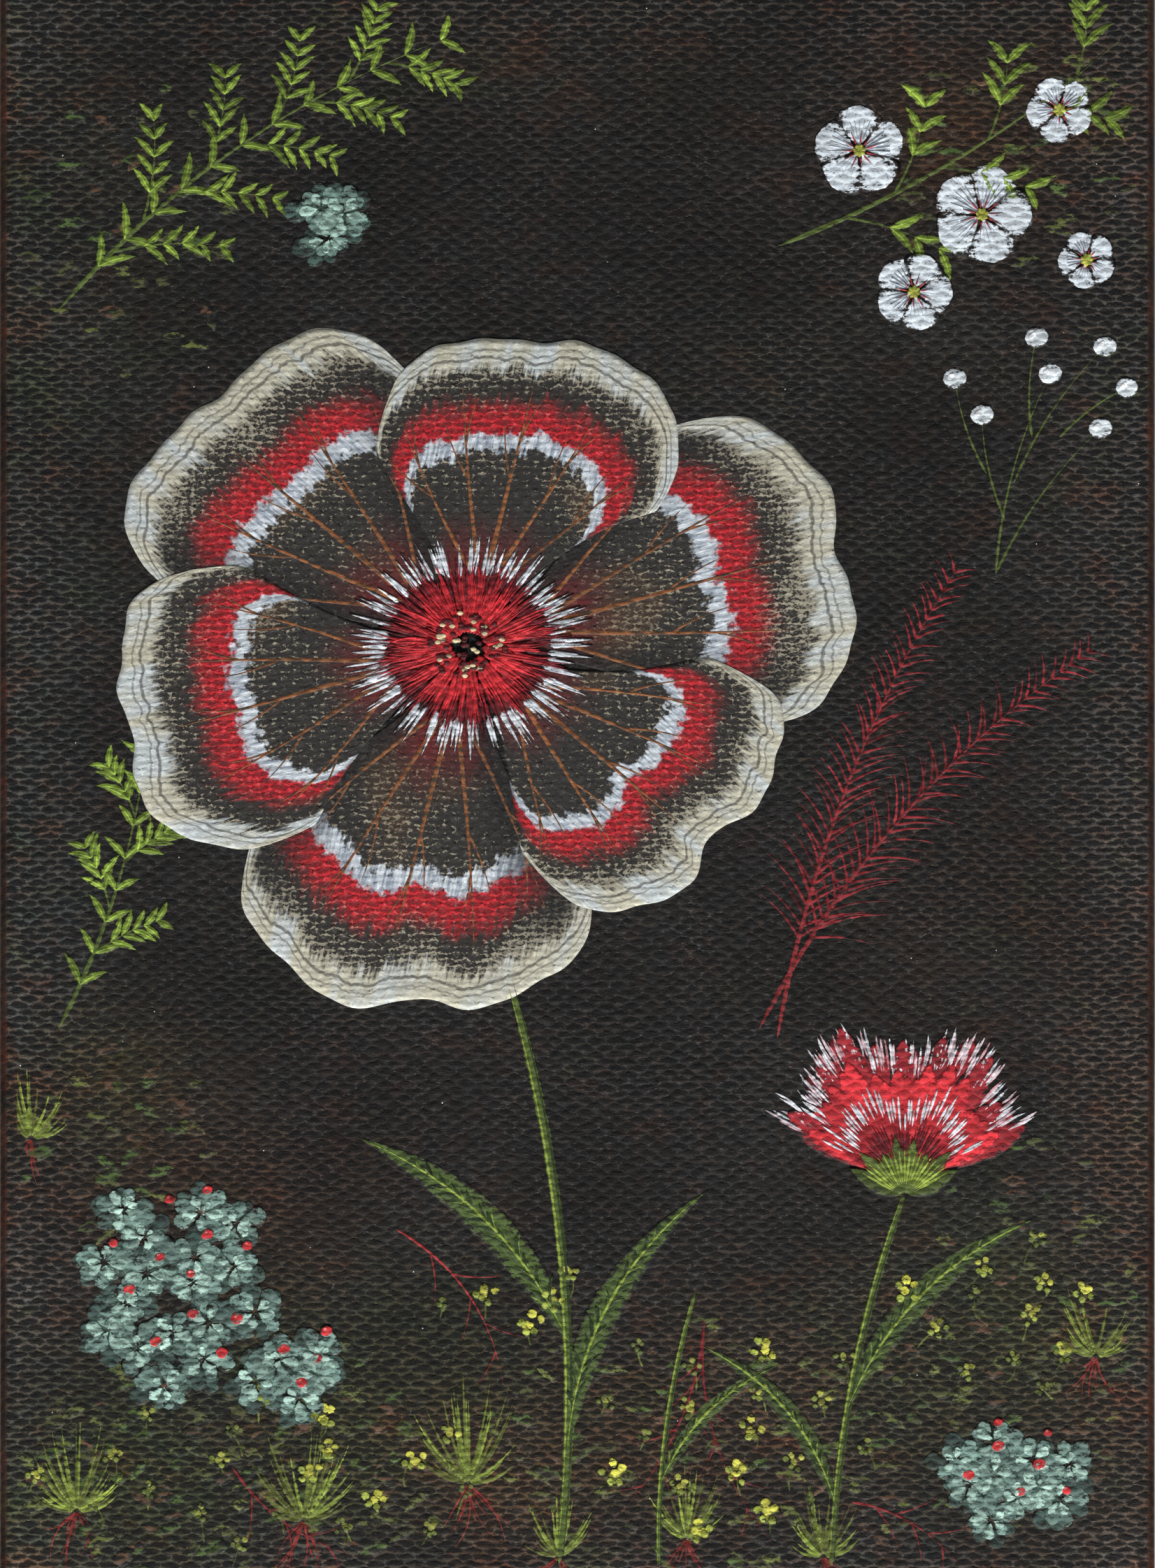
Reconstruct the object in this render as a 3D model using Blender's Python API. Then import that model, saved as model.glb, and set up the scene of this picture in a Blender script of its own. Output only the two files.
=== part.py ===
# Small stretched canvas, 5 by 7 inches, standing on its lower edge with the painted face towards -Y.
# Cotton duck is pulled over four mitred pine bars, folded at the corners and stapled behind.
# Metres, +Z up. The origin is under the middle of the object, at half its depth.

import math

import bmesh
import bpy
from mathutils import Matrix, Vector

# Overall size of the covered canvas
WIDTH = 0.1270
HEIGHT = 0.1778

# Cloth
CLOTH = 0.0005             # thickness of the primed duck
FOLD = 0.0005              # how far a folded corner stands out
MARGIN = 0.0150            # cloth turned in over the back
EDGE_RADIUS = 0.0010       # outer radius of the cloth over every edge
ARC_STEPS = 3              # faces round a quarter turn
LOOP_INSET = 0.0004        # least corner radius of an inner loop

# Clearance that touching pieces keep
GAP = 0.0003

# Stretcher bars
BAR_WIDTH = 0.0320
BAR_DEPTH = 0.0172
LIP_RADIUS = 0.0010        # rounded outer front edge that carries the cloth
LIP_WIDTH = 0.0030
LIP_STEP = 0.0012          # the face drops back behind the lip
LIP_SLOPE_END = 0.0044
BEVEL_DROP = 0.0030        # how far the face has dropped at the inner edge
CHAMFER = 0.0004           # broken edges

# Corner joint: two thin tongues cross inside the thickness of the bars
JOINT_START = 0.0050       # solid wood in front of the first tongue
TONGUE = 0.0034
TONGUE_TRIM = 0.0005       # extra thickness that the neighbouring slot cuts back
TONGUE_ROOT = 0.0050       # how far a tongue reaches back into its own bar
SLOT_LEVELS = (JOINT_START, JOINT_START + TONGUE + GAP)

# Wedge keys
KEY_ROOM = 0.0060          # slot left open beside the tongue
KEY_TIP = 0.0026
KEY_TAPER = 1 / 6
KEY_INSIDE = 0.0170        # length inside the slot
KEY_OUTSIDE = 0.0070       # length that stands in the opening
KEY_NICK = 0.0010          # cut corners of the tip

# Staples
STAPLE_CROWN = 0.0100
STAPLE_LEG = 0.0055
WIRE_WIDTH = 0.0008
WIRE_THICK = 0.0005
STAPLE_INSET = 0.0085      # from the outer side of the canvas
CORNER_INSET = 0.0105      # corner staple, from both outer sides
STAPLES_LONG = 4
STAPLES_SHORT = 2
LONG_SPACING = 0.0340
SHORT_SPACING = 0.0400

# Folded corner, from the outer side of the canvas
EAR_REACH = 0.0175         # along the top and lower sides
BACK_EAR_REACH = 0.0165    # along the back
EAR_INSET = 0.0012
EAR_ROOT = 0.0002          # how deep the fold is set into the cloth

# Depth: the front of the cloth, then everything behind it
DEPTH = 2 * CLOTH + BAR_DEPTH + FOLD + WIRE_THICK + 3 * GAP
FRONT = -DEPTH / 2
BAR_FRONT = FRONT + CLOTH + GAP
BAR_BACK = BAR_FRONT + BAR_DEPTH
MARGIN_IN = BAR_BACK + GAP
MARGIN_OUT = MARGIN_IN + CLOTH
FOLD_OUT = MARGIN_OUT + FOLD

# Height: the folds under the lower side carry the canvas
CLOTH_LOW = FOLD
CLOTH_HIGH = HEIGHT - FOLD
BAR_LOW = CLOTH_LOW + CLOTH + GAP
BAR_HIGH = CLOTH_HIGH - CLOTH - GAP
MIDDLE = HEIGHT / 2
BAR_SIDE = WIDTH / 2 - CLOTH - GAP

PAINTED_CLOTH = ((0.030, 0.030, 0.026), 0.62, 0.0)
PINE = ((0.640, 0.470, 0.290), 0.65, 0.0)
KEY_WOOD = ((0.700, 0.540, 0.360), 0.60, 0.0)
STEEL = ((0.560, 0.570, 0.580), 0.35, 1.0)


def clear_scene():
    for obj in list(bpy.data.objects):
        bpy.data.objects.remove(obj, do_unlink=True)


def make_material(name, look):
    colour, roughness, metallic = look
    material = bpy.data.materials.new(name)
    material.use_nodes = True
    shader = material.node_tree.nodes["Principled BSDF"]
    shader.inputs["Base Color"].default_value = (*colour, 1.0)
    shader.inputs["Roughness"].default_value = roughness
    shader.inputs["Metallic"].default_value = metallic
    material.diffuse_color = (*colour, 1.0)
    return material


def add_object(name, bm, look=None):
    bmesh.ops.recalc_face_normals(bm, faces=bm.faces)
    mesh = bpy.data.meshes.new(name)
    bm.to_mesh(mesh)
    bm.free()
    obj = bpy.data.objects.new(name, mesh)
    if look:
        mesh.materials.append(make_material(name + "_finish", look))
    bpy.context.scene.collection.objects.link(obj)
    return obj


def add_cutter(name, bm):
    obj = add_object(name, bm)
    obj.hide_render = True
    obj.display_type = "WIRE"
    return obj


def boolean(obj, other, operation):
    modifier = obj.modifiers.new(operation.lower() + "_" + other.name, "BOOLEAN")
    modifier.operation = operation
    modifier.object = other
    modifier.solver = "EXACT"


# Box between two corners
def add_box(bm, low, high):
    low, high = Vector(low), Vector(high)
    place = Matrix.Translation((low + high) / 2) @ Matrix.Diagonal((*(high - low), 1.0))
    return bmesh.ops.create_cube(bm, size=1.0, matrix=place)


# Straight prism: the outline is a list of corners, and offset carries it to the other end
def add_prism(bm, outline, offset):
    near = [bm.verts.new(point) for point in outline]
    far = [bm.verts.new(Vector(point) + Vector(offset)) for point in outline]
    bm.faces.new(near)
    bm.faces.new(list(reversed(far)))
    for i in range(len(outline)):
        j = (i + 1) % len(outline)
        bm.faces.new((near[i], far[i], far[j], near[j]))


# Quarter turn of a section: pairs of inset and depth from one flat to the next
def quarter_turn(radius, centre_inset, centre_y, start):
    points = []
    for k in range(ARC_STEPS + 1):
        angle = start + k * (math.pi / 2) / ARC_STEPS
        points.append((centre_inset - radius * math.sin(angle), centre_y - radius * math.cos(angle)))
    return points


# Rectangle with rounded corners at one depth, set in from the outer side of the cloth
def rounded_loop(inset, y):
    half = WIDTH / 2 - inset
    low, high = CLOTH_LOW + inset, CLOTH_HIGH - inset
    radius = max(EDGE_RADIUS - inset, LOOP_INSET)
    centres = ((half - radius, high - radius), (radius - half, high - radius),
               (radius - half, low + radius), (half - radius, low + radius))
    points = []
    for corner, (x, z) in enumerate(centres):
        for k in range(ARC_STEPS + 1):
            angle = (corner + k / ARC_STEPS) * math.pi / 2
            points.append((x + radius * math.cos(angle), y, z + radius * math.sin(angle)))
    return points


# The cloth is one wall that runs from the front, over the sides and in over the back
def cloth_section():
    inner = EDGE_RADIUS - CLOTH
    front_y, back_y = FRONT + EDGE_RADIUS, MARGIN_OUT - EDGE_RADIUS
    section = quarter_turn(EDGE_RADIUS, EDGE_RADIUS, front_y, 0.0)
    section += quarter_turn(EDGE_RADIUS, EDGE_RADIUS, back_y, math.pi / 2)
    section += [(MARGIN, MARGIN_OUT), (MARGIN, MARGIN_IN)]
    section += reversed(quarter_turn(inner, EDGE_RADIUS, back_y, math.pi / 2))
    section += reversed(quarter_turn(inner, EDGE_RADIUS, front_y, 0.0))
    return section


def wrapped_cloth():
    bm = bmesh.new()
    loops = [[bm.verts.new(point) for point in rounded_loop(*step)] for step in cloth_section()]
    count = len(loops[0])
    for first, second in zip(loops, loops[1:]):
        for i in range(count):
            j = (i + 1) % count
            bm.faces.new((first[i], first[j], second[j], second[i]))
    bm.faces.new(loops[0])
    bm.faces.new(loops[-1])
    return bm


# Folded cloth at the corners: a triangle on the top and lower sides, and one on the back
def corner_folds():
    bm = bmesh.new()
    for side in (-1, 1):
        for upper in (-1, 1):
            face_z = CLOTH_HIGH if upper > 0 else CLOTH_LOW
            outer_x = side * (WIDTH / 2 - EAR_INSET)
            inner_x = side * (WIDTH / 2 - EAR_REACH)
            root_z = face_z - upper * EAR_ROOT
            front_y, back_y = FRONT + EDGE_RADIUS, MARGIN_OUT - EDGE_RADIUS
            outline = [(outer_x, front_y, root_z), (outer_x, back_y, root_z), (inner_x, back_y, root_z)]
            add_prism(bm, outline, (0, 0, upper * (EAR_ROOT + FOLD)))
            outer_z = face_z - upper * EAR_INSET
            inner_z = face_z - upper * BACK_EAR_REACH
            inner_x = side * (WIDTH / 2 - BACK_EAR_REACH)
            root_y = MARGIN_OUT - EAR_ROOT
            outline = [(outer_x, root_y, outer_z), (inner_x, root_y, outer_z), (inner_x, root_y, inner_z)]
            add_prism(bm, outline, (0, EAR_ROOT + FOLD, 0))
    return add_cutter("guide_corner_folds", bm)


def build_canvas(leg_holes):
    canvas = add_object("canvas", wrapped_cloth(), PAINTED_CLOTH)
    boolean(canvas, corner_folds(), "UNION")
    boolean(canvas, leg_holes, "DIFFERENCE")
    return canvas


# Section of a bar: distance in from its outer edge, and depth from its front
def bar_section():
    section = []
    for k in range(ARC_STEPS + 1):
        angle = k * (math.pi / 2) / ARC_STEPS
        section.append((LIP_RADIUS * (1 - math.cos(angle)), LIP_RADIUS * (1 - math.sin(angle))))
    section += [(LIP_WIDTH, 0.0), (LIP_SLOPE_END, LIP_STEP)]
    section += [(BAR_WIDTH - CHAMFER, BEVEL_DROP), (BAR_WIDTH, BEVEL_DROP + CHAMFER)]
    section += [(BAR_WIDTH, BAR_DEPTH - CHAMFER), (BAR_WIDTH - CHAMFER, BAR_DEPTH)]
    section += [(CHAMFER, BAR_DEPTH), (0.0, BAR_DEPTH - CHAMFER)]
    return section


# Plain mitred bar along X, its outer edge on the X axis and its inner edge towards +Z
def mitred_bar(half_length):
    bm = bmesh.new()
    reach = half_length - GAP / math.sqrt(2)
    ends = []
    for side in (-1, 1):
        ends.append([bm.verts.new((side * (reach - u), BAR_FRONT + v, u)) for u, v in bar_section()])
    count = len(ends[0])
    for i in range(count):
        j = (i + 1) % count
        bm.faces.new((ends[0][i], ends[0][j], ends[1][j], ends[1][i]))
    bm.faces.new(ends[0])
    bm.faces.new(ends[1])
    return bm


def bar_tongues(name, half_length, level):
    bm = bmesh.new()
    front = BAR_FRONT + SLOT_LEVELS[level]
    back = front + TONGUE
    if level == 0:
        back += TONGUE_TRIM
    else:
        front -= TONGUE_TRIM
    for side in (-1, 1):
        root = side * (half_length - BAR_WIDTH - TONGUE_ROOT)
        tip = side * (half_length - GAP)
        add_box(bm, (min(root, tip), front, GAP), (max(root, tip), back, BAR_WIDTH - GAP))
    return add_cutter("guide_tongues_" + name, bm)


# The slot takes the other bar's tongue and leaves room for a wedge beside it
def bar_slots(name, half_length, level):
    bm = bmesh.new()
    front = BAR_FRONT + SLOT_LEVELS[level] - GAP
    back = front + TONGUE + 2 * GAP
    for side in (-1, 1):
        start = side * (half_length - BAR_WIDTH - KEY_ROOM)
        end = side * (half_length + GAP)
        add_box(bm, (min(start, end), front, -GAP), (max(start, end), back, BAR_WIDTH + GAP))
    return add_cutter("cut_slots_" + name, bm)


def build_bar(name, half_length, levels, location, turn, leg_holes):
    tongue_level, slot_level = levels
    bar = add_object(name, mitred_bar(half_length), PINE)
    tongues = bar_tongues(name, half_length, tongue_level)
    slots = bar_slots(name, half_length, slot_level)
    boolean(bar, tongues, "UNION")
    boolean(bar, slots, "DIFFERENCE")
    boolean(bar, leg_holes, "DIFFERENCE")
    for guide in (tongues, slots):
        guide.parent = bar
    bar.location = location
    bar.rotation_euler = (0.0, turn, 0.0)
    return bar


def build_bars(leg_holes):
    half_width, half_height = BAR_SIDE, (BAR_HIGH - BAR_LOW) / 2
    across, upright = (1, 0), (0, 1)
    quarter = math.pi / 2
    build_bar("bar_bottom", half_width, across, (0, 0, BAR_LOW), 0.0, leg_holes)
    build_bar("bar_top", half_width, across, (0, 0, BAR_HIGH), math.pi, leg_holes)
    build_bar("bar_left", half_height, upright, (-BAR_SIDE, 0, MIDDLE), quarter, leg_holes)
    build_bar("bar_right", half_height, upright, (BAR_SIDE, 0, MIDDLE), -quarter, leg_holes)


# Wedge in the XZ plane: its straight edge on the X axis, its tip towards +X, zero at the slot's mouth
def key_outline():
    head = KEY_TIP + KEY_TAPER * (KEY_INSIDE + KEY_OUTSIDE)
    return [(-KEY_OUTSIDE, 0.0), (KEY_INSIDE - KEY_NICK, 0.0), (KEY_INSIDE, KEY_NICK / 2),
            (KEY_INSIDE, KEY_TIP - KEY_NICK / 2), (KEY_INSIDE - KEY_NICK, KEY_TIP), (-KEY_OUTSIDE, head)]


def build_keys():
    inner_x = BAR_SIDE - BAR_WIDTH
    for row, upper in (("top", 1), ("bottom", -1)):
        inner_z = (BAR_HIGH - BAR_WIDTH) if upper > 0 else (BAR_LOW + BAR_WIDTH)
        for column, side in (("left", -1), ("right", 1)):
            upright = [(side * (inner_x - GAP - w), inner_z + upper * l) for l, w in key_outline()]
            across = [(side * (inner_x + l), inner_z - upper * (GAP + w)) for l, w in key_outline()]
            for number, outline in enumerate((upright, across)):
                bm = bmesh.new()
                y = BAR_FRONT + SLOT_LEVELS[number]
                add_prism(bm, [(x, y, z) for x, z in outline], (0, TONGUE, 0))
                add_object("key_{}_{}_{}".format(row, column, number + 1), bm, KEY_WOOD)


# Name, middle, level of the cloth under the crown, and the crown's direction in the XZ plane
def staple_places():
    places = []
    long_x = WIDTH / 2 - STAPLE_INSET
    for column, side in (("left", -1), ("right", 1)):
        for i in range(STAPLES_LONG):
            z = MIDDLE + (i - (STAPLES_LONG - 1) / 2) * LONG_SPACING
            places.append(("staple_{}_{}".format(column, i + 1), (side * long_x, z), MARGIN_OUT, (0, 1)))
    for row, upper in (("top", 1), ("bottom", -1)):
        edge_z = CLOTH_HIGH if upper > 0 else CLOTH_LOW
        for i in range(STAPLES_SHORT):
            x = (i - (STAPLES_SHORT - 1) / 2) * SHORT_SPACING
            place = (x, edge_z - upper * STAPLE_INSET)
            places.append(("staple_{}_{}".format(row, i + 1), place, MARGIN_OUT, (1, 0)))
        for column, side in (("left", -1), ("right", 1)):
            x = side * (WIDTH / 2 - CORNER_INSET)
            z = edge_z - upper * CORNER_INSET
            across = (math.sqrt(0.5), -side * upper * math.sqrt(0.5))
            places.append(("staple_corner_{}_{}".format(row, column), (x, z), FOLD_OUT, across))
    return places


# Frame of a staple: local X along the crown, local Y out of the back, local Z across the crown
def staple_frame(middle, level, direction):
    along = Vector((direction[0], 0, direction[1]))
    out = Vector((0, 1, 0))
    frame = Matrix((along, out, along.cross(out))).transposed().to_4x4()
    return Matrix.Translation((middle[0], level + GAP, middle[1])) @ frame


# Wire bent twice: a flat crown and two square legs
def staple_outline():
    half = STAPLE_CROWN / 2
    inside = half - WIRE_THICK
    depth = WIRE_THICK - STAPLE_LEG
    return [(-half, WIRE_THICK), (-half, depth), (-inside, depth), (-inside, 0.0),
            (inside, 0.0), (inside, depth), (half, depth), (half, WIRE_THICK)]


def build_staples():
    for name, middle, level, direction in staple_places():
        bm = bmesh.new()
        add_prism(bm, [(x, y, -WIRE_WIDTH / 2) for x, y in staple_outline()], (0, 0, WIRE_WIDTH))
        bmesh.ops.transform(bm, matrix=staple_frame(middle, level, direction), verts=bm.verts)
        add_object(name, bm, STEEL)


# Room for every staple leg, through the cloth and into the wood
def staple_leg_holes():
    bm = bmesh.new()
    half = STAPLE_CROWN / 2
    for _, middle, level, direction in staple_places():
        frame = staple_frame(middle, level, direction)
        for side in (-1, 1):
            outer, inner = side * (half + GAP), side * (half - WIRE_THICK - GAP)
            low = (min(outer, inner), WIRE_THICK - STAPLE_LEG - GAP, -WIRE_WIDTH / 2 - GAP)
            high = (max(outer, inner), WIRE_THICK, WIRE_WIDTH / 2 + GAP)
            corners = add_box(bm, low, high)["verts"]
            bmesh.ops.transform(bm, matrix=frame, verts=corners)
    return add_cutter("cut_staple_legs", bm)


def main():
    clear_scene()
    leg_holes = staple_leg_holes()
    build_canvas(leg_holes)
    build_bars(leg_holes)
    build_keys()
    build_staples()


main()
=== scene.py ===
import math

import bpy
import numpy as np
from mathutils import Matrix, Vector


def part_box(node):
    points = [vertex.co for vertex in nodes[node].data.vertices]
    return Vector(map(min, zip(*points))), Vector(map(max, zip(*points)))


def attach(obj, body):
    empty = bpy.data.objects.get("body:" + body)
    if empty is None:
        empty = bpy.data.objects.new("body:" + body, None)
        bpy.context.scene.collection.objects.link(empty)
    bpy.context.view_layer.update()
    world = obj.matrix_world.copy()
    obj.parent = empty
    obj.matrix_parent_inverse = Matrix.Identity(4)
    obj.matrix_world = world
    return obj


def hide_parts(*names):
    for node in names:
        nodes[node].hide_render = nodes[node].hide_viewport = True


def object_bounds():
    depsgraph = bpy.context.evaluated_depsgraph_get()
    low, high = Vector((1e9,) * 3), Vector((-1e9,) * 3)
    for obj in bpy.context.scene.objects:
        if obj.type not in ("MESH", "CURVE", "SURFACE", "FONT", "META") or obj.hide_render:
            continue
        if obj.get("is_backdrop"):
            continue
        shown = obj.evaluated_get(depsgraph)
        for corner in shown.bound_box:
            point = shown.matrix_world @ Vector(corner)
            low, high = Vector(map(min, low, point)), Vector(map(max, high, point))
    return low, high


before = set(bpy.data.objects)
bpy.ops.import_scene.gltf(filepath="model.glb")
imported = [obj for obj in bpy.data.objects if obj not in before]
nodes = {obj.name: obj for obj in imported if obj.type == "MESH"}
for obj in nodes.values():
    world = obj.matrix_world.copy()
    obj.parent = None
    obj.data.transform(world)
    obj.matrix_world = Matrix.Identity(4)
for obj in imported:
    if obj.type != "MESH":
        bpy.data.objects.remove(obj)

frameLow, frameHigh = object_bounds()
mm = 0.001


# Meshes

# One mesh from whole arrays. faces is a list of arrays, one for each number of corners a face may have
def makePiece(name, points, faces, material, layers, flat=()):
    mesh = bpy.data.meshes.new(name)
    loops = np.concatenate([group.ravel() for group in faces]).astype(np.int32)
    corners = np.concatenate([np.full(len(group), group.shape[1]) for group in faces])
    mesh.vertices.add(len(points))
    mesh.vertices.foreach_set("co", points.astype(np.float32).ravel())
    mesh.loops.add(len(loops))
    mesh.loops.foreach_set("vertex_index", loops)
    mesh.polygons.add(len(corners))
    mesh.polygons.foreach_set("loop_start", (np.cumsum(corners) - corners).astype(np.int32))
    mesh.update(calc_edges=True)
    mesh.polygons.foreach_set("use_smooth", ~np.isin(corners, flat))
    for label, values in layers.items():
        kind, field = ("FLOAT", "value") if values.ndim == 1 else ("FLOAT_VECTOR", "vector")
        store = mesh.attributes.new(label, kind, "POINT")
        store.data.foreach_set(field, values.astype(np.float32).ravel())
    mesh.materials.append(material)
    piece = bpy.data.objects.new(name, mesh)
    bpy.context.scene.collection.objects.link(piece)
    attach(piece, "root")
    print("made", name, "with", (corners - 2).sum(), "triangles")
    return piece


# Quads between neighbouring rows and columns of a grid of point numbers
def gridFaces(index):
    return np.stack([index[:-1, :-1], index[:-1, 1:], index[1:, 1:], index[1:, :-1]], -1).reshape(-1, 4)


# Border of a grid of point numbers: along its first row, up, back along its last row and down
def gridRim(index):
    return np.concatenate([index[0, :-1], index[:-1, -1], index[-1, :0:-1], index[:0:-1, 0]])


# Quads between two closed rings of point numbers, the other way round if inward
def ringFaces(first, second, inward=False):
    quads = np.stack([first, second, np.roll(second, -1, -1), np.roll(first, -1, -1)], -1).reshape(-1, 4)
    return quads[:, [0, 3, 2, 1]] if inward else quads


# Smooth step from 0 at low to 1 at high: 3t^2 - 2t^3
def easeStep(low, high, value):
    t = np.clip((value - low) / (high - low), 0, 1)
    return t * t * (3 - 2 * t)


# Maximum of a and b, rounded where they are closer than k: max + k h^3 / 6, where h = 1 - |a - b| / k
def softMax(a, b, k):
    h = np.clip(1 - np.abs(a - b) / k, 0, 1)
    return np.maximum(a, b) + k * h ** 3 / 6


# Node helpers

# A number in a material, kept as slope * socket + base. It adds and multiplies like any other number, and
# becomes a math node only where something needs it
class Term:
    def __init__(self, socket, slope=1.0, base=0.0):
        self.socket, self.slope, self.base = socket, slope, base

    def plain(self):
        if (self.slope, self.base) != (1.0, 0.0):
            self.socket = maths("MULTIPLY_ADD", Term(self.socket), self.slope, self.base).socket
            self.slope, self.base = 1.0, 0.0
        return self.socket

    def __mul__(self, other):
        if isinstance(other, Term):
            return maths("MULTIPLY", self, other)
        return Term(self.socket, self.slope * other, self.base * other)

    def __add__(self, other):
        if not isinstance(other, Term):
            return Term(self.socket, self.slope, self.base + other)
        first, second = (self, other) if self.slope != 1.0 else (other, self)
        rest = Term(second.socket, second.slope, second.base + first.base)
        return maths("MULTIPLY_ADD", Term(first.socket), first.slope, rest)

    def __neg__(self):
        return self * -1.0

    def __sub__(self, other):
        return self + -other

    def __rsub__(self, other):
        return -self + other

    def __abs__(self):
        return maths("ABSOLUTE", self)

    __rmul__, __radd__ = __mul__, __add__


# A value goes into a socket: a term or another socket is linked, a constant is set
def feed(socket, value):
    if isinstance(value, Term):
        value = value.plain()
    if isinstance(value, bpy.types.NodeSocket):
        socket.id_data.links.new(value, socket)
    else:
        socket.default_value = value


# A node in the tree that its values come from
def nodeFor(kind, values):
    sockets = [getattr(value, "socket", value) for value in values]
    trees = [socket.id_data for socket in sockets if isinstance(socket, bpy.types.NodeSocket)]
    return trees[0].nodes.new(kind)


# A math node on terms and numbers, as a term
def maths(operation, *values, clamp=False):
    node = nodeFor("ShaderNodeMath", values)
    node.operation, node.use_clamp = operation, clamp
    for socket, value in zip(node.inputs, values):
        feed(socket, value)
    return Term(node.outputs[0])


# The greater of two terms
def most(first, second):
    return maths("MAXIMUM", first, second)


# toLow below low and toHigh above high, smooth between: 3t^2 - 2t^3
def between(value, low, high, toLow=0.0, toHigh=1.0):
    node = nodeFor("ShaderNodeMapRange", [value])
    node.interpolation_type = "SMOOTHSTEP"
    labels = "Value", "From Min", "From Max", "To Min", "To Max"
    for label, number in zip(labels, (value, low, high, toLow, toHigh)):
        feed(node.inputs[label], number)
    return Term(node.outputs[0])


# Colour from first at a factor of 0 to second at 1
def blend(factor, first, second, mode="MIX"):
    values = factor, first, second
    node = nodeFor("ShaderNodeMix", values)
    node.data_type, node.blend_type, node.clamp_factor = "RGBA", mode, True
    for number, value in zip((0, 6, 7), values):
        feed(node.inputs[number], (*value, 1.0) if isinstance(value, tuple) else value)
    return node.outputs[2]


# Product of two colours, or of a colour and a term
def tint(first, second):
    return blend(1.0, first, second, "MULTIPLY")


# A material on its way, and the nodes that a formula starts from
class Finish:
    def __init__(self, name):
        self.material = bpy.data.materials.new(name)
        self.material.use_nodes = True
        self.tree = self.material.node_tree

    def node(self, kind, vector=None, **values):
        made = self.tree.nodes.new("ShaderNode" + kind)
        if vector is not None:
            feed(made.inputs["Vector"], vector)
        for label, value in values.items():
            feed(made.inputs[label], value)
        return made

    # A layer stored in the mesh, as a vector or as a number
    def layer(self, label, field="Vector"):
        made = self.node("Attribute")
        made.attribute_name = label
        return made.outputs[field]

    def share(self, label):
        return Term(self.layer(label, "Fac"))

    # Object coordinates, or those of a layer, stretched
    def place(self, stretch=None, label=None):
        start = self.layer(label) if label else self.node("TexCoord").outputs["Object"]
        return self.node("Mapping", start, Scale=stretch).outputs[0] if stretch else start

    # Cloudy pattern with lumps about size across, 0 to 1
    def clouds(self, size, detail=2.0, rough=0.5, stretch=None, label=None, at=None):
        at = self.place(stretch, label) if at is None else at
        return Term(self.node("TexNoise", at, Scale=1.0 / size, Detail=detail, Roughness=rough).outputs[0])

    def split(self, vector):
        return [Term(socket) for socket in self.node("SeparateXYZ", vector).outputs]

    # The finished material: colour, roughness, a bump as deep as depth from a height, other inputs by name
    def done(self, colour, rough, height=None, depth=0.0, **values):
        values.update({"Base Color": colour, "Roughness": rough})
        if height is not None:
            values["Normal"] = self.node("Bump", Height=height, Distance=depth, Strength=1.0).outputs[0]
        for label, value in values.items():
            feed(self.tree.nodes["Principled BSDF"].inputs[label], value)
        return self.material


# Cloth and its weave

canvas = {
    "edgeRadius": 1.0 * mm,     # cloth over the outer edges
    "thickness": 0.5 * mm,
    "fold": 0.5 * mm,           # how far a folded corner stands out
    "margin": 15.0 * mm,        # turned in over the back
    "warps": 112,               # threads across the front
    "wefts": 236,               # threads up the front
    "relief": 0.045 * mm,       # from the hollows to the crowns of the weave
    "crown": 0.7,               # height of the weave, 0 to 1, that lies in the cloth's plane
    "drift": 0.30 * mm,         # how far threads wander sideways
    "slub": 0.35,               # how much a thread's thickness varies
    "arcSteps": 4,
    "sideRows": 8,
    "marginRows": 12,
    "bulge": 0.22 * mm,         # of the margin between the staples
    "bulgeReach": 6.0 * mm,
    "fray": 0.25 * mm,          # of the cut edge
    "seed": 11,
}

weave = {"ridgeWidth": 0.72, "archPower": 0.9, "join": 0.25,
         "shadeShift": 0.28, "shadePower": 0.6, "pitPower": 1.5}

# The folded corners: first and last distance along the wrap, width, waver of the fold, grid
flap = {"start": 1.6 * mm, "arc": 1.57 * mm, "onBack": 14.6 * mm, "wide": 17.0 * mm, "waver": 0.25 * mm,
        "crease": 0.10 * mm, "rows": 46, "columns": 15}

clothLow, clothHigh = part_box("canvas")
halfWide = clothHigh.x - canvas["edgeRadius"]                  # to where the front starts to turn
frontLow = clothLow.z + canvas["fold"] + canvas["edgeRadius"]
frontHigh = clothHigh.z - canvas["fold"] - canvas["edgeRadius"]
halfTall = (frontHigh - frontLow) / 2
middleZ = (frontHigh + frontLow) / 2
frontY = clothLow.y
backY = clothHigh.y - canvas["fold"]
warpPitch = 2 * halfWide / canvas["warps"]
weftPitch = 2 * halfTall / canvas["wefts"]


# Height of the weave at warp number a and weft number b, 0 to 1. Weft j is a ridge, sqrt(1 - (d / width)^2)
# across, arched along by |cos(pi (a - j) / 2)|; its neighbour is arched by |sin|; a soft maximum joins them
def weaveHeight(a, b):
    j = np.round(b)
    near = np.abs(b - j)
    turn = np.pi / 2 * (a - j)
    width, power = weave["ridgeWidth"], weave["archPower"]
    weft = np.abs(np.cos(turn)) ** power * np.sqrt(1 - (near / width) ** 2)
    other = np.abs(np.sin(turn)) ** power * np.sqrt(np.clip(1 - ((1 - near) / width) ** 2, 0, 1))
    return softMax(weft, other, weave["join"])


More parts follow.
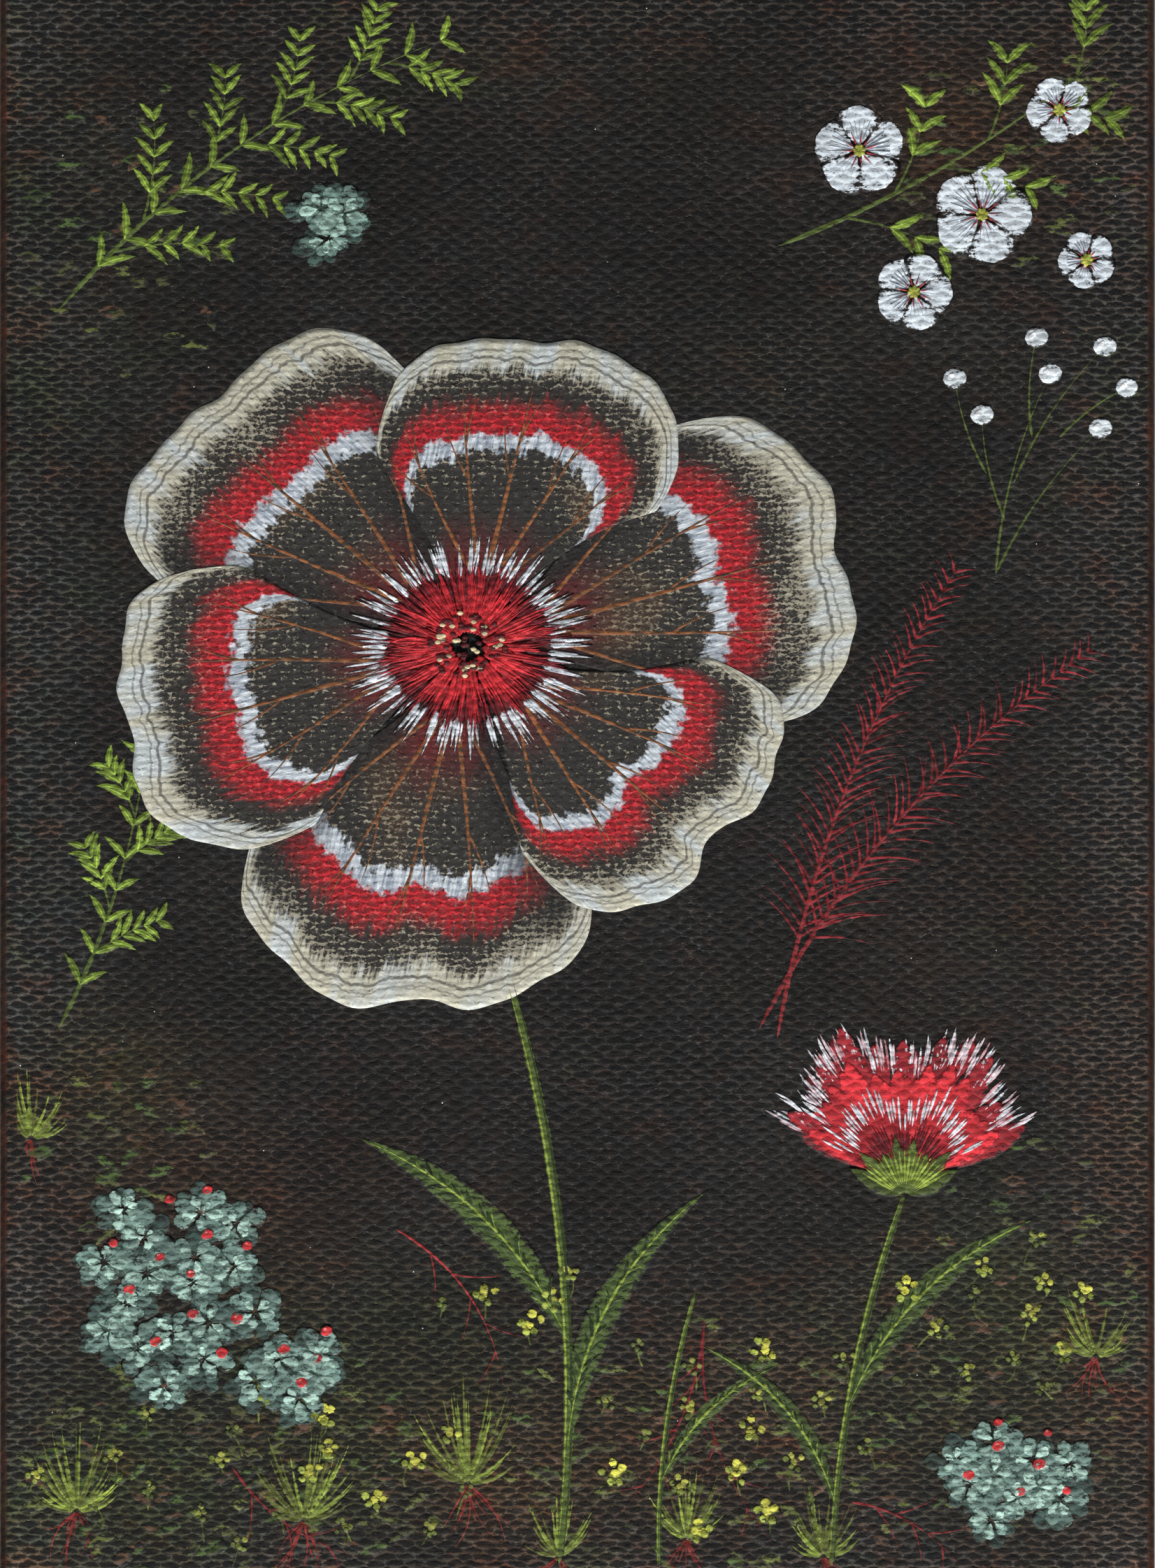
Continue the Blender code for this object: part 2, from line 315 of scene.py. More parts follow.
# The same height from the thread numbers stored in the mesh, a lens on the upper side of every crown, and a
# shorter lens that stays apart from its neighbours; both fall from 1 in the middle to 0 at their outline
def weaveNodes(look):
    wander = look.node("TexNoise", look.place(), Scale=1 / (2.4 * mm), Detail=4.0, Roughness=0.62)
    shift, thread = look.split(wander.outputs["Color"]), look.split(look.layer("thread"))
    a = thread[0] + (shift[0] * 1.6 - 0.80)
    b = shift[1] * 1.4 + (look.clouds(0.34 * mm, 2.0, 0.6) * 0.60 - 1.0) + thread[1]

    def arch(wave, row, power):
        return maths("POWER", abs(maths(wave, (a - row) * (math.pi / 2))), power)

    def ridge(distance):
        ratio = distance * (1 / weave["ridgeWidth"])
        return maths("SQRT", maths("SUBTRACT", 1.0, ratio * ratio, clamp=True))

    j = maths("ROUND", b)
    near = abs(b - j)
    weft = arch("COSINE", j, weave["archPower"]) * ridge(near)
    other = arch("SINE", j, weave["archPower"]) * ridge(1.0 - near)
    above = b - weave["shadeShift"]
    row = maths("ROUND", above)
    off = abs(above - row)
    long = arch("COSINE", row, weave["shadePower"]) * 0.5 + 0.001
    short = arch("COSINE", row, weave["pitPower"]) * 0.46 + 0.001
    pit = maths("SUBTRACT", 1.0, maths("DIVIDE", off, short), clamp=True)
    return maths("SMOOTH_MAX", weft, other, weave["join"]), 1.0 - maths("DIVIDE", off, long), pit


# How far the threads wander at a place on the front: products of slow sines, nothing at the edges
def threadDrift(x, z):
    calm = easeStep(0, 6 * mm, halfWide - np.abs(x)) * easeStep(0, 6 * mm, halfTall - np.abs(z - middleZ))
    sway = np.sin(x * 310 + 1.7) * np.cos(z * 140 + 0.4) + 0.6 * np.sin(x * 120 - z * 260)
    rise = np.sin(x * 95 + 0.9) * np.cos(z * 230 + 2.0) + 0.7 * np.sin(x * 210 + z * 75)
    return calm * canvas["drift"] * sway, calm * canvas["drift"] * 0.7 * rise


# Warp and weft numbers at a place on the front
def threadAt(x, z):
    dx, dz = threadDrift(x, z)
    return (x - dx + halfWide) / warpPitch, (z - dz - frontLow) / weftPitch


# Relief of the front: one column for each warp and two rows for each weft, uneven by random slubs along
# the wefts. Height = relief * (weave - crown) * (1 + slub)
def frontRelief():
    random = np.random.default_rng(canvas["seed"])
    a, b = np.meshgrid(np.arange(canvas["warps"] + 1), np.arange(2 * canvas["wefts"] + 1) / 2)
    height = weaveHeight(a, b) - canvas["crown"]
    loose = random.normal(size=height.shape)
    slub = sum(np.roll(loose, k, 1) for k in range(-4, 5)) / 3 + 0.5 * random.normal(size=(len(height), 1))
    return a, b, canvas["relief"] * height * (1 + canvas["slub"] * slub)


warpGrid, weftGrid, reliefGrid = frontRelief()


# How far the cloth stands out at a place on the front: between the grid's four nearest points
def clothHeight(x, z):
    a, b = threadAt(x, z)
    a = np.clip(a, 0, canvas["warps"] - 1e-6)
    b = np.clip(2 * b, 0, 2 * canvas["wefts"] - 1e-6)
    i, j = a.astype(int), b.astype(int)
    s, t = a - i, b - j
    low = reliefGrid[j, i] * (1 - s) + reliefGrid[j, i + 1] * s
    high = reliefGrid[j + 1, i] * (1 - s) + reliefGrid[j + 1, i + 1] * s
    return low * (1 - t) + high * t


ground = {
    "charcoal": (0.031, 0.028, 0.026),
    # turned: colour of the dark red brown painted shade on the round edge
    "turned": (0.038, 0.015, 0.009),    # where the cloth turns round the edge
    "washes": [     # place, spread across and up (mm), colour, strength
        (-56, 150, 12, 26, (0.052, 0.050, 0.036), 0.7), (46, 161, 15, 11, (0.096, 0.054, 0.032), 0.85),
        (58, 120, 9, 26, (0.056, 0.050, 0.044), 0.8), (-60, 84, 6, 30, (0.050, 0.054, 0.050), 0.7),
        (-52, 54, 10, 9, (0.078, 0.066, 0.030), 0.8), (-40, 42, 18, 12, (0.066, 0.036, 0.023), 0.8),
        (-26, 22, 22, 12, (0.052, 0.060, 0.026), 0.8), (-4, 14, 20, 9, (0.096, 0.060, 0.032), 0.9),
        (24, 22, 15, 12, (0.078, 0.056, 0.034), 0.85), (46, 27, 14, 14, (0.068, 0.070, 0.032), 0.85),
        (58, 12, 12, 12, (0.072, 0.052, 0.034), 0.8), (-12, 170, 30, 8, (0.058, 0.047, 0.036), 0.7),
        (44, 74, 15, 13, (0.056, 0.036, 0.026), 0.6), (-52, 11, 13, 11, (0.056, 0.066, 0.028), 0.85),
        (60, 52, 6, 22, (0.078, 0.048, 0.032), 0.7), (36, 138, 14, 7, (0.052, 0.048, 0.040), 0.7),
    ],
}


# Colour of the dark ground: charcoal, mottled by slow sines, with each wash laid over as exp(-r^2). The
# last flat millimetre gets a painted highlight, and the round edge beyond it a red brown painted shade
def groundColour(x, z):
    aside, above = np.abs(x), np.abs(z - middleZ)
    mottle = 1 + 0.16 * np.sin(x * 190 + 3 * np.sin(z * 90)) + 0.14 * np.sin(z * 240 + 2 * np.sin(x * 110))
    edge = easeStep(14 * mm, 0, halfWide - aside) + 0.5 * easeStep(10 * mm, 0, halfTall - above)
    colour = np.array(ground["charcoal"]) * (mottle * (1 + 1.1 * edge))[..., None]
    for px, pz, wide, tall, tone, strength in ground["washes"]:
        ragged = 1 + 0.25 * np.sin(x * 260 + z * 170 + px)
        share = strength * np.exp(-((x / mm - px) / wide) ** 2 - ((z / mm - pz) / tall) ** 2) * ragged
        share = np.clip(share, 0, 1)[..., None]
        colour = colour * (1 - share) + np.array(tone) * share
    room = np.minimum(halfWide - aside, halfTall - above) / mm
    # Painted highlight: lighter over the last flat millimetres before the cloth turns round the edge
    colour = colour * (1 + 0.30 * easeStep(1.8, 0.4, room) * easeStep(-0.1, 0.2, room))[..., None]
    patchy = 0.8 + 0.3 * np.sin((x + z) * 380 + 2 * np.sin(z * 130)) + 0.2 * np.sin(z * 900)
    # Painted shade: dark red brown on the round edge, patchy, weaker on the sides
    turned = (0.9 * easeStep(0.12, -0.25, room) * (1 - 0.6 * easeStep(-0.88, -1.0, room)))[..., None]
    return colour * (1 - turned) + turned * patchy[..., None] * np.array(ground["turned"])


# Section of the outer cloth from the front round to the cut edge: offset out from the front's border,
# depth, which way it faces, distance along the cloth and share of the weave's relief
def clothSection():
    radius = canvas["edgeRadius"]
    turn = np.arange(1, canvas["arcSteps"] + 1) / canvas["arcSteps"] * np.pi / 2
    rows = [(radius * math.sin(t), frontY + radius * (1 - math.cos(t)), math.sin(t), -math.cos(t),
             radius * t, 1.0) for t in turn]
    flat = backY - frontY - 2 * radius
    start = radius * np.pi / 2
    for step in np.arange(1, canvas["sideRows"] + 1) / canvas["sideRows"]:
        rows.append((radius, frontY + radius + step * flat, 1.0, 0.0, start + step * flat, 0.8))
    start += flat
    for t in turn:
        rows.append((radius * math.cos(t), backY - radius * (1 - math.sin(t)), math.cos(t), math.sin(t),
                     start + radius * t, 0.6))
    start += radius * np.pi / 2
    reach = canvas["margin"] - radius
    for step in np.arange(1, canvas["marginRows"] + 1) / canvas["marginRows"]:
        rows.append((-reach * step, backY, 0.0, 1.0, start + reach * step, 0.5))
    return rows


# Border of the front, anticlockwise from the lower left: side number, place along the side, half its length
def frontBorder():
    wide = np.linspace(-halfWide, halfWide, canvas["warps"] + 1)[:-1]
    tall = np.linspace(-halfTall, halfTall, 2 * canvas["wefts"] + 1)[:-1]
    side = np.repeat([0, 1, 2, 3], [len(wide), len(tall), len(wide), len(tall)])
    return side, np.concatenate([wide, tall, wide, tall]), np.where(side % 2 == 0, halfWide, halfTall)


# A ring at an offset from the border. Straight parts move straight out; near a corner the points slide onto
# its quarter circle, whose middle the corner point takes; towards the inside the ring shrinks with mitred
# corners
def ringAt(offset, y):
    side, along, half = frontBorder()
    offset = np.broadcast_to(offset, along.shape)
    out = np.maximum(offset, 1e-9)
    room = half - np.abs(along)
    slid = room - np.pi / 4 * out * np.clip(1 - room / (4 * mm), 0, 1)
    angle = np.clip(-slid / out, 0, np.pi / 4)
    alongOut = np.where(along < 0, -1.0, 1.0) * (half - np.maximum(slid, 0) + out * np.sin(angle))
    along = np.where(offset > 0, alongOut, along * (half + offset) / half)
    away = np.where(offset > 0, out * np.cos(angle), offset)
    other = np.where(side % 2 == 0, halfTall, halfWide) + away
    sides = [side == number for number in range(4)]
    x = np.select(sides, [along, other, -along, -other])
    z = np.select(sides, [-other, along, other, -along])
    return np.stack([x, np.broadcast_to(y, x.shape), z + middleZ], -1)


# Thread numbers off the front: the cloth is unrolled, so distance along it replaces x or z on that side
def threadsOff(ring, distance):
    side = frontBorder()[0]
    x = np.clip(ring[:, 0], -halfWide, halfWide)
    z = np.clip(ring[:, 2] - middleZ, -halfTall, halfTall)
    x = np.select([side == 1, side == 3], [halfWide + distance, -halfWide - distance], x)
    z = np.select([side == 0, side == 2], [-halfTall - distance, halfTall + distance], z)
    return (x + halfWide) / warpPitch, (z + halfTall) / weftPitch


# The wrap profile at any distance along the outer cloth, between the rows of its section
def wrapAt(distance):
    section = np.array([(0.0, frontY, 0.0, -1.0, 0.0, 1.0)] + clothSection())
    return [np.interp(distance, section[:, 4], section[:, k]) for k in range(4)]


# A folded corner: cloth that runs back along the top or lower side and in over the back to its mitre. It is
# widest at the back edge; s goes across it to the round fold, t along the wrap, and its face stands out by
# fold * sqrt(1 - d^2), where d runs into the fold's edge
def cornerFlap(sideX, sideZ):
    start, wide = flap["start"], flap["wide"]
    sideEnd = flap["arc"] + backY - frontY - 2 * canvas["edgeRadius"]
    t = np.linspace(0, 1, flap["rows"])[:, None]
    s = np.linspace(0, 1, flap["columns"])[None, :] ** 0.8
    distance = start + (sideEnd + flap["arc"] + flap["onBack"] - start) * t
    inner = np.where(distance < sideEnd, wide * (distance - start) / (sideEnd - start), wide)
    inner = inner + flap["waver"] * np.sin(distance * 900)
    outer = 0.5 * mm + np.clip(distance - sideEnd - 0.5 * mm, 0, 1)
    x = clothHigh.x - outer - np.maximum(inner - outer, 0.15 * mm) * s
    offset, y, outward, back = wrapAt(distance)
    rim = np.sqrt(np.clip(1 - ((s - 0.88) / 0.12).clip(0, 1) ** 2, 0, 1))
    foot = easeStep(0.0, 0.25, s) * easeStep(0, 0.05, t) * easeStep(1, 0.95, t)
    crease = flap["crease"] * np.sin(distance * 1500 + 9 * s) * s * (1 - s)
    shells = []
    for lift in (canvas["fold"] * rim * (0.35 + 0.65 * foot) + crease - 0.05 * mm, -0.25 * mm + 0 * x):
        z = middleZ + sideZ * (halfTall + offset + outward * lift)
        shells.append(np.stack([sideX * x, y + back * lift, z], -1))
    a = (sideX * x + halfWide) / warpPitch + 0.25 * distance / warpPitch
    b = canvas["wefts"] + sideZ * distance / weftPitch
    thread = np.stack([a, b + 0 * a, 0 * a], -1).reshape(-1, 3)
    return shells, thread, np.broadcast_to(distance, x.shape).ravel(), sideX * sideZ


# Places of the staples in the plane of the back
staplePlaces = np.array([((low.x + high.x) / 2, (low.z + high.z) / 2)
                         for low, high in (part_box(name) for name in nodes if name.startswith("staple_"))])


# The turned-in margin lies flat at every staple and bulges between them, d from the nearest one:
# lift = bulge * (1 - exp(-(d / bulgeReach)^2))
def marginBulge(x, z):
    d = np.sqrt(((np.stack([x, z], -1)[..., None, :] - staplePlaces) ** 2).sum(-1)).min(-1)
    return canvas["bulge"] * (1 - np.exp(-(d / canvas["bulgeReach"]) ** 2))


# The whole cloth: the front's grid, rings round the sides, over the back and along the inside, and the
# folded corners. Every ring stands out by its share of the weave's relief
def buildCanvas(material):
    x, z = -halfWide + warpGrid * warpPitch, frontLow + weftGrid * weftPitch
    dx, dz = threadDrift(x, z)
    points = [np.stack([x + dx, frontY - reliefGrid, z + dz], -1).reshape(-1, 3)]
    threads = [np.stack([warpGrid, weftGrid, 0 * x], -1).reshape(-1, 3)]
    wraps = [np.zeros(x.size)]
    index = np.arange(x.size).reshape(x.shape)
    border = gridRim(index)
    faces, rings, total = [gridFaces(index)], [border], x.size
    inner, inside = canvas["edgeRadius"] - canvas["thickness"], backY - canvas["thickness"]
    cutIn = canvas["edgeRadius"] - canvas["margin"]
    rows = clothSection()
    outerRows = len(rows)
    rows += [(cutIn - 0.1 * mm, backY - canvas["thickness"] / 2, 0, 1, rows[-1][4], 0),
             (cutIn, inside, 0, 1, -1, 0),
             (0.0, inside, 0, 1, -1, 0),
             (inner, backY - canvas["edgeRadius"], 1, 0, -1, 0),
             (inner, frontY + canvas["edgeRadius"], 1, 0, -1, 0),
             (0.0, frontY + canvas["thickness"], 0, 1, -1, 0)]
    fray = canvas["fray"] * np.random.default_rng(canvas["seed"] + 1).normal(size=len(border))
    for number, (offset, y, outward, back, distance, share) in enumerate(rows):
        bare = ringAt(offset, y)
        a, b = threadsOff(bare, max(distance, 0.0))
        height = share * canvas["relief"] * (weaveHeight(a, b) - canvas["crown"])
        past = number - outerRows
        ragged = fray if -1 <= past <= 1 else 0.0
        loose = marginBulge(bare[:, 0], bare[:, 2]) if -canvas["marginRows"] <= past <= 1 else 0.0
        points.append(ringAt(offset + outward * height + ragged, y + back * height + loose))
        threads.append(np.stack([a, b, 0 * a], -1))
        wraps.append(np.full(len(a), float(distance)))
        rings.append(total + np.arange(len(border)))
        total += len(border)
    faces += [ringFaces(first, second) for first, second in zip(rings, rings[1:])]
    for sideX, sideZ in ((-1, -1), (-1, 1), (1, -1), (1, 1)):
        (top, under), thread, distance, turn = cornerFlap(sideX, sideZ)
        upper = total + np.arange(len(thread)).reshape(top.shape[:2])
        lower = upper + len(thread)
        wall = ringFaces(gridRim(upper), gridRim(lower), inward=True)
        shell = np.concatenate([gridFaces(upper)[:, ::-1], gridFaces(lower), wall])
        faces.append(shell if turn > 0 else shell[:, ::-1])
        points += [top.reshape(-1, 3), under.reshape(-1, 3)]
        threads += [thread, thread]
        wraps += [distance, distance]
        total += 2 * len(thread)
    faces.append(rings[-1][::-1][None, :])
    points = np.concatenate(points)
    layers = {"thread": np.concatenate(threads), "wrap": np.concatenate(wraps) / mm,
              "ground": groundColour(points[:, 0], points[:, 2])}
    piece = makePiece("canvas_cloth", points, faces, material, layers, flat=[len(border)])
    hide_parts("canvas")


# Dark paint on the weave: the ground's colour, streaked and mottled, with painted shade in blue black above
# each crown. It is darker and calmer in the middle, lighter near the border; glints are painted highlights,
# short dashes
def darkGround(look, lens):
    grain = look.clouds(0.22 * mm, 3.0, 0.75, (0.62, 1.0, 2.3))
    patch = look.clouds(5 * mm, 3.0, 0.6)
    rubbed = look.clouds(1.1 * mm, 3.0, 0.6, (0.7, 1.0, 1.4))
    x, _, z = look.split(look.place())
    across = between(abs(x), halfWide - 18 * mm, halfWide - 2 * mm)
    border = most(across, between(abs(z - middleZ), halfTall - 12 * mm, halfTall - 1 * mm))
    border = most(border, between(z, 50 * mm, 24 * mm, 0.0, 0.75))
    worked = between(look.clouds(21 * mm, 2.0, 0.5, (1.0, 2.0, 1.2)), 0.42, 0.62)
    calm = most(border, worked * 0.55) * -0.80 + 0.85
    # Painted shade: the mask for blue black on the upper side of each crown of the weave, broken up by noise
    crownShade = lens + grain * 1.8 + rubbed * -1.6 + patch * 0.8 - 0.50
    wrap = look.share("wrap")
    # On the round edge the blue black painted shade and the painted highlights fade, and the streaks flatten
    turned = between(wrap, 0.05, 0.35) * between(wrap, 1.75, 1.35)
    dark = between(crownShade, -0.40, 0.45) * (1.0 - turned * 0.75)
    rust = between(look.clouds(7 * mm, 4.0, 0.65, (1.0, 1.0, 1.6)), 0.52, 0.68)
    greened = between(look.clouds(9 * mm, 3.0, 0.6, (1.0, 3.0, 1.3)), 0.54, 0.70)
    restless = 1.0 - calm * 0.65
    hue = blend(between(look.clouds(1.8 * mm, 3.0, 0.6), 0.35, 0.65), (0.90, 0.98, 1.03), (1.14, 1.0, 0.89))
    hue = blend(rust * restless * 0.80, hue, (1.75, 0.90, 0.60))
    hue = blend(greened * restless * 0.65, hue, (0.88, 1.18, 0.70))
    light = tint(look.layer("ground"), hue)
    streaks = blend(between(grain * 0.6 + rubbed * 0.5, 0.40, 0.74), (0.42, 0.42, 0.42), (1.55, 1.55, 1.55))
    streaked = tint(light, blend(turned * 0.6, streaks, (1.0, 1.0, 1.0)))
    # The blue black colour of the painted shade above the crowns
    deep = blend(0.10, (0.0030, 0.0036, 0.0042), streaked)
    deep = blend(calm, deep, tint(streaked, (0.31, 0.32, 0.34)))
    streaked = blend(calm, streaked, tint(streaked, (0.43, 0.44, 0.45)))
    # Painted highlights: short light dashes, fewer in the blue black painted shade
    dashes = look.clouds(0.19 * mm, 2.0, 0.6, (0.45, 1.0, 2.2))
    rise = between(lens, -0.6, 0.8) * -0.12 + patch * 0.30 + dashes
    # Colour of the painted highlights: a light grey drawn from the ground's colour
    dry = blend(0.4, (0.086, 0.084, 0.080), tint(light, (3.0, 3.0, 3.0)))
    glint = between(rise, 0.70, 0.84) * (0.80 - turned * 0.80)
    return blend(glint, blend(dark, streaked, deep), dry), grain


# Scattered specks of dust: points of a cell pattern, where the cell's own number is high
def dustNodes(look, colour):
    cells = look.node("TexVoronoi", look.place(), Scale=1 / (4.5 * mm))
    chosen = maths("GREATER_THAN", cells.outputs["Color"], 0.55)
    near = maths("LESS_THAN", cells.outputs["Distance"], 0.016)
    return blend(chosen * near, colour, (0.60, 0.60, 0.58))


# Painted cotton: dark in front and round the sides, bare primer past a ragged line, raw cotton inside
def clothFinish():
    look = Finish("primedCloth")
    height, lens, _ = weaveNodes(look)
    dark, grain = darkGround(look, lens)
    wrap = look.share("wrap")
    bare = between(wrap - (look.clouds(5 * mm, 4.0, 0.65) * 13.0 + 17.5), -0.35, 0.35)
    aged = between(look.clouds(9 * mm, 4.0, 0.6), 0.40, 0.75)
    primer = blend(aged, (0.72, 0.71, 0.67), (0.60, 0.58, 0.52))
    # Painted shade: the primer is darker in the low parts of the weave
    primer = blend(between(height, 0.15, 0.65), (0.42, 0.40, 0.36), primer)
    # Painted shade: the raw cotton is darker in the low parts of the weave
    cotton = blend(between(height, 0.1, 0.9), (0.30, 0.24, 0.17), (0.62, 0.54, 0.42))
    fleck = between(look.clouds(1.1 * mm, 2.0, 0.7, (1.0, 1.0, 0.4)), 0.70, 0.78)
    inside = maths("LESS_THAN", wrap, -0.5)
    colour = blend(bare, dustNodes(look, dark), primer)
    colour = blend(inside, colour, blend(fleck, cotton, (0.22, 0.15, 0.09)))
    painted = maths("SUBTRACT", 1.0, most(bare, inside), clamp=True)
    slub = look.clouds(1.6 * mm, 2.0, 0.5, (1.0, 1.0, 3.0)) * 1.4 + 0.3
    return look.done(colour, grain * 0.25 + painted * -0.35 + 0.72, height * slub + grain * 0.80, 0.10 * mm,
                     **{"Specular IOR Level": 0.11})


cottonThreads = {"count": 150, "short": 1.2 * mm, "long": 8.0 * mm, "radius": 0.12 * mm,
                 "rings": 12, "sides": 5}


# Loose threads at the cut edge behind: tubes on curves that leave the edge, sag onto the wood and curl. The
# side, the place along it and the length are drawn by chance
def buildLooseThreads(material):
    random = np.random.default_rng(canvas["seed"] + 2)
    count, rings, sides = (cottonThreads[label] for label in ("count", "rings", "sides"))
    inset = canvas["margin"] - 0.3 * mm
    wide, tall = clothHigh.x - inset, (frameHigh.z - frameLow.z) / 2 - inset
    side = random.integers(0, 4, count)
    place = ((2 * random.random(count) - 1) * np.where(side % 2, tall, wide))[:, None]
    length = (cottonThreads["short"] + cottonThreads["long"] * random.random(count) ** 2.5)[:, None]
    t = np.linspace(0, 1, rings)[None, :]
    into = (length * t * (1 - 0.25 * t)).T
    sway = 0.5 * random.normal(size=(count, 1)) * t ** 2
    sway = sway + 0.12 * np.sin(6 * t + 6 * random.random((count, 1)))
    run = (place + length * sway).T
    x = np.select([side == 0, side == 1, side == 2], [run, wide - into, run], into - wide).T
    z = np.select([side == 0, side == 1, side == 2], [into - tall, run, tall - into], run).T
    level = backY - canvas["thickness"] / 2 - 0.45 * mm * easeStep(0, 0.45, t)
    level = level + 0.25 * mm * t * np.sin(9 * t + place * 900)
    path = np.stack([x, np.maximum(level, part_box("bar_top")[1].y + 0.10 * mm), z + middleZ], -1)
    way = np.gradient(path, axis=1)
    way /= np.linalg.norm(way, axis=-1, keepdims=True)
    across = np.cross(way, (0.0, 1.0, 0.0))
    across /= np.linalg.norm(across, axis=-1, keepdims=True)
    turn = (np.arange(sides) * 2 * np.pi / sides)[:, None]
    radius = cottonThreads["radius"] * (1 - 0.5 * t)[..., None, None]
    around = np.cos(turn) * across[:, :, None] + np.sin(turn) * np.cross(across, way)[:, :, None]
    index = np.arange(count * rings * sides).reshape(count, rings, sides)
    faces = [ringFaces(index[:, :-1], index[:, 1:], inward=True), index[:, 0, ::-1], index[:, -1]]
    twist = np.broadcast_to((t * 40)[..., None], index.shape).ravel()
    points = (path[:, :, None] + radius * around).reshape(-1, 3)
    makePiece("loose_threads", points, faces, material, {"twist": twist})


# Cotton thread: fine slanting plies around it
def threadFinish():
    look = Finish("cottonThread")
    tone = maths("SINE", look.share("twist") * 2.2) * 0.25 + look.clouds(0.15 * mm, 3.0, 0.6)
    colour = blend(between(tone, 0.2, 0.9), (0.42, 0.36, 0.27), (0.78, 0.74, 0.65))
    return look.done(colour, 0.85, tone, 0.03 * mm)


print("weave and cloth")
buildCanvas(clothFinish())
buildLooseThreads(threadFinish())


# Paint: every mark is a closed film of its own on the cloth

film = {
    "body": 0.038 * mm,         # thickness over the cloth, less in a fine stroke
    "sunk": 0.042 * mm,         # how far its edges dip into the cloth
    "slim": 0.045,              # thickness of a fine stroke as a share of its width
    "under": 0.140 * mm,        # depth of its hidden lower side
    "step": 0.55,               # mm between rings
    "low": (-61.6, 2.2),        # no mark begins or ends beyond these corners (mm)
    "high": (61.6, 175.6),
    "fade": 1.75,               # how much thinner the paint is at its edges
    "cell": 0.10,               # mm, of the map of what has been painted
    "seed": 23,
}

# Half width along a stroke from its start to its end, as a share of its width / 2
profiles = {
    "taper": lambda t: np.minimum(1, t / 0.08) ** 0.5 * (1 - t) ** 0.75,
    "lens": lambda t: np.sin(np.pi * t) ** 0.75,
    "petal": lambda t: np.sin(np.pi * t ** 1.6) ** 0.65,
    "leaf": lambda t: np.sin(np.pi * t ** 0.85) ** 0.9,
    "even": lambda t: (1 - np.abs(2 * t - 1) ** 7) ** 0.5,
    "round": lambda t: (1 - (2 * t - 1) ** 2) ** 0.5,
}

chance = np.random.default_rng(film["seed"])
mapSize = (int(2 * halfTall / mm / film["cell"]) + 1, int(2 * halfWide / mm / film["cell"]) + 1)
paintMap = np.zeros((*mapSize, 4), np.float32)      # colour, and 1 where there is paint


# Unit steps at angles, flattened upwards by squash
def ray(angle, squash=1.0):
    return np.stack([np.cos(angle), squash * np.sin(angle)], -1)


# A value for every one of count strokes, as a column
def column(value, count):
    return np.broadcast_to(value, count)[:, None]


# A table of strokes (mm), one row each: start, bend, end, width, lift, colour. The bend is the middle
# pushed sideways by bow times the length; colours vary by the share spread
def strokes(start, end, width, colour, bow=0.0, lift=0.0, spread=0.12):
    tips = np.broadcast_arrays(np.atleast_2d(start).astype(float), np.atleast_2d(end).astype(float))
    start, end = (np.clip(tip, film["low"], film["high"]) for tip in tips)
    count = len(start)
    side = np.stack([start[:, 1] - end[:, 1], end[:, 0] - start[:, 0]], -1)
    bend = (start + end) / 2 + side * column(bow, count)
    tone = np.broadcast_to(colour, (count, 3)) * (1 + spread * chance.normal(size=(count, 1)))
    sizes = column(width, count), column(lift, count)
    return np.hstack([start, bend, end, *sizes, np.clip(tone, 0.002, 0.9)])


# Strokes that fan out from a centre (mm): from radius inner to outer at each angle
def fan(centre, angles, inner, outer, width, colour, squash=1.0, **more):
    rays, count = ray(angles, squash), len(angles)
    near, far = (np.array(centre) + rays * column(radius, count) for radius in (inner, outer))
    return strokes(near, far, width, colour, **more)


# Level strokes through places, each reach long on both sides: dots, when their profile is round
def dots(places, reach, width, colour, **more):
    return strokes(places - reach, places + reach, width, colour, **more)


# Places (mm) and directions at shares t along curves: p = (1-t)^2 start + 2t(1-t) bend + t^2 end
def curve(rows, t):
    start, bend, end = (rows[:, None, k:k + 2] for k in (0, 2, 4))
    place = (1 - t) ** 2 * start + 2 * t * (1 - t) * bend + t ** 2 * end
    return place, 2 * (1 - t) * (bend - start) + 2 * t * (end - bend)


# The same along one curve, with its directions as angles
def along(row, t):
    place, way = curve(row[None], np.atleast_1d(t)[None, :, None])
    return place[0], np.arctan2(way[0, :, 1], way[0, :, 0])


# Middle and half width at shares t along curves, and places at s from -1 to 1 across them (mm)
def acrossCurves(rows, t, s, shape):
    middle, way = curve(rows, t)
    way = way / np.maximum(np.linalg.norm(way, axis=-1, keepdims=True), 1e-6)
    side = np.stack([-way[..., 1], way[..., 0]], -1)
    half = 0.56 * rows[:, 6:7] * profiles[shape](t[..., 0]) + 0.015
    return middle, half, middle[:, :, None] + side[:, :, None] * (half[..., None] * s)[..., None]


# Row and column of the paint map at places on the front (mm)
def mapCells(place):
    row = (place[..., 1] - frontLow / mm) / film["cell"]
    across = (place[..., 0] + halfWide / mm) / film["cell"]
    return row.astype(int).clip(0, mapSize[0] - 1), across.astype(int).clip(0, mapSize[1] - 1)


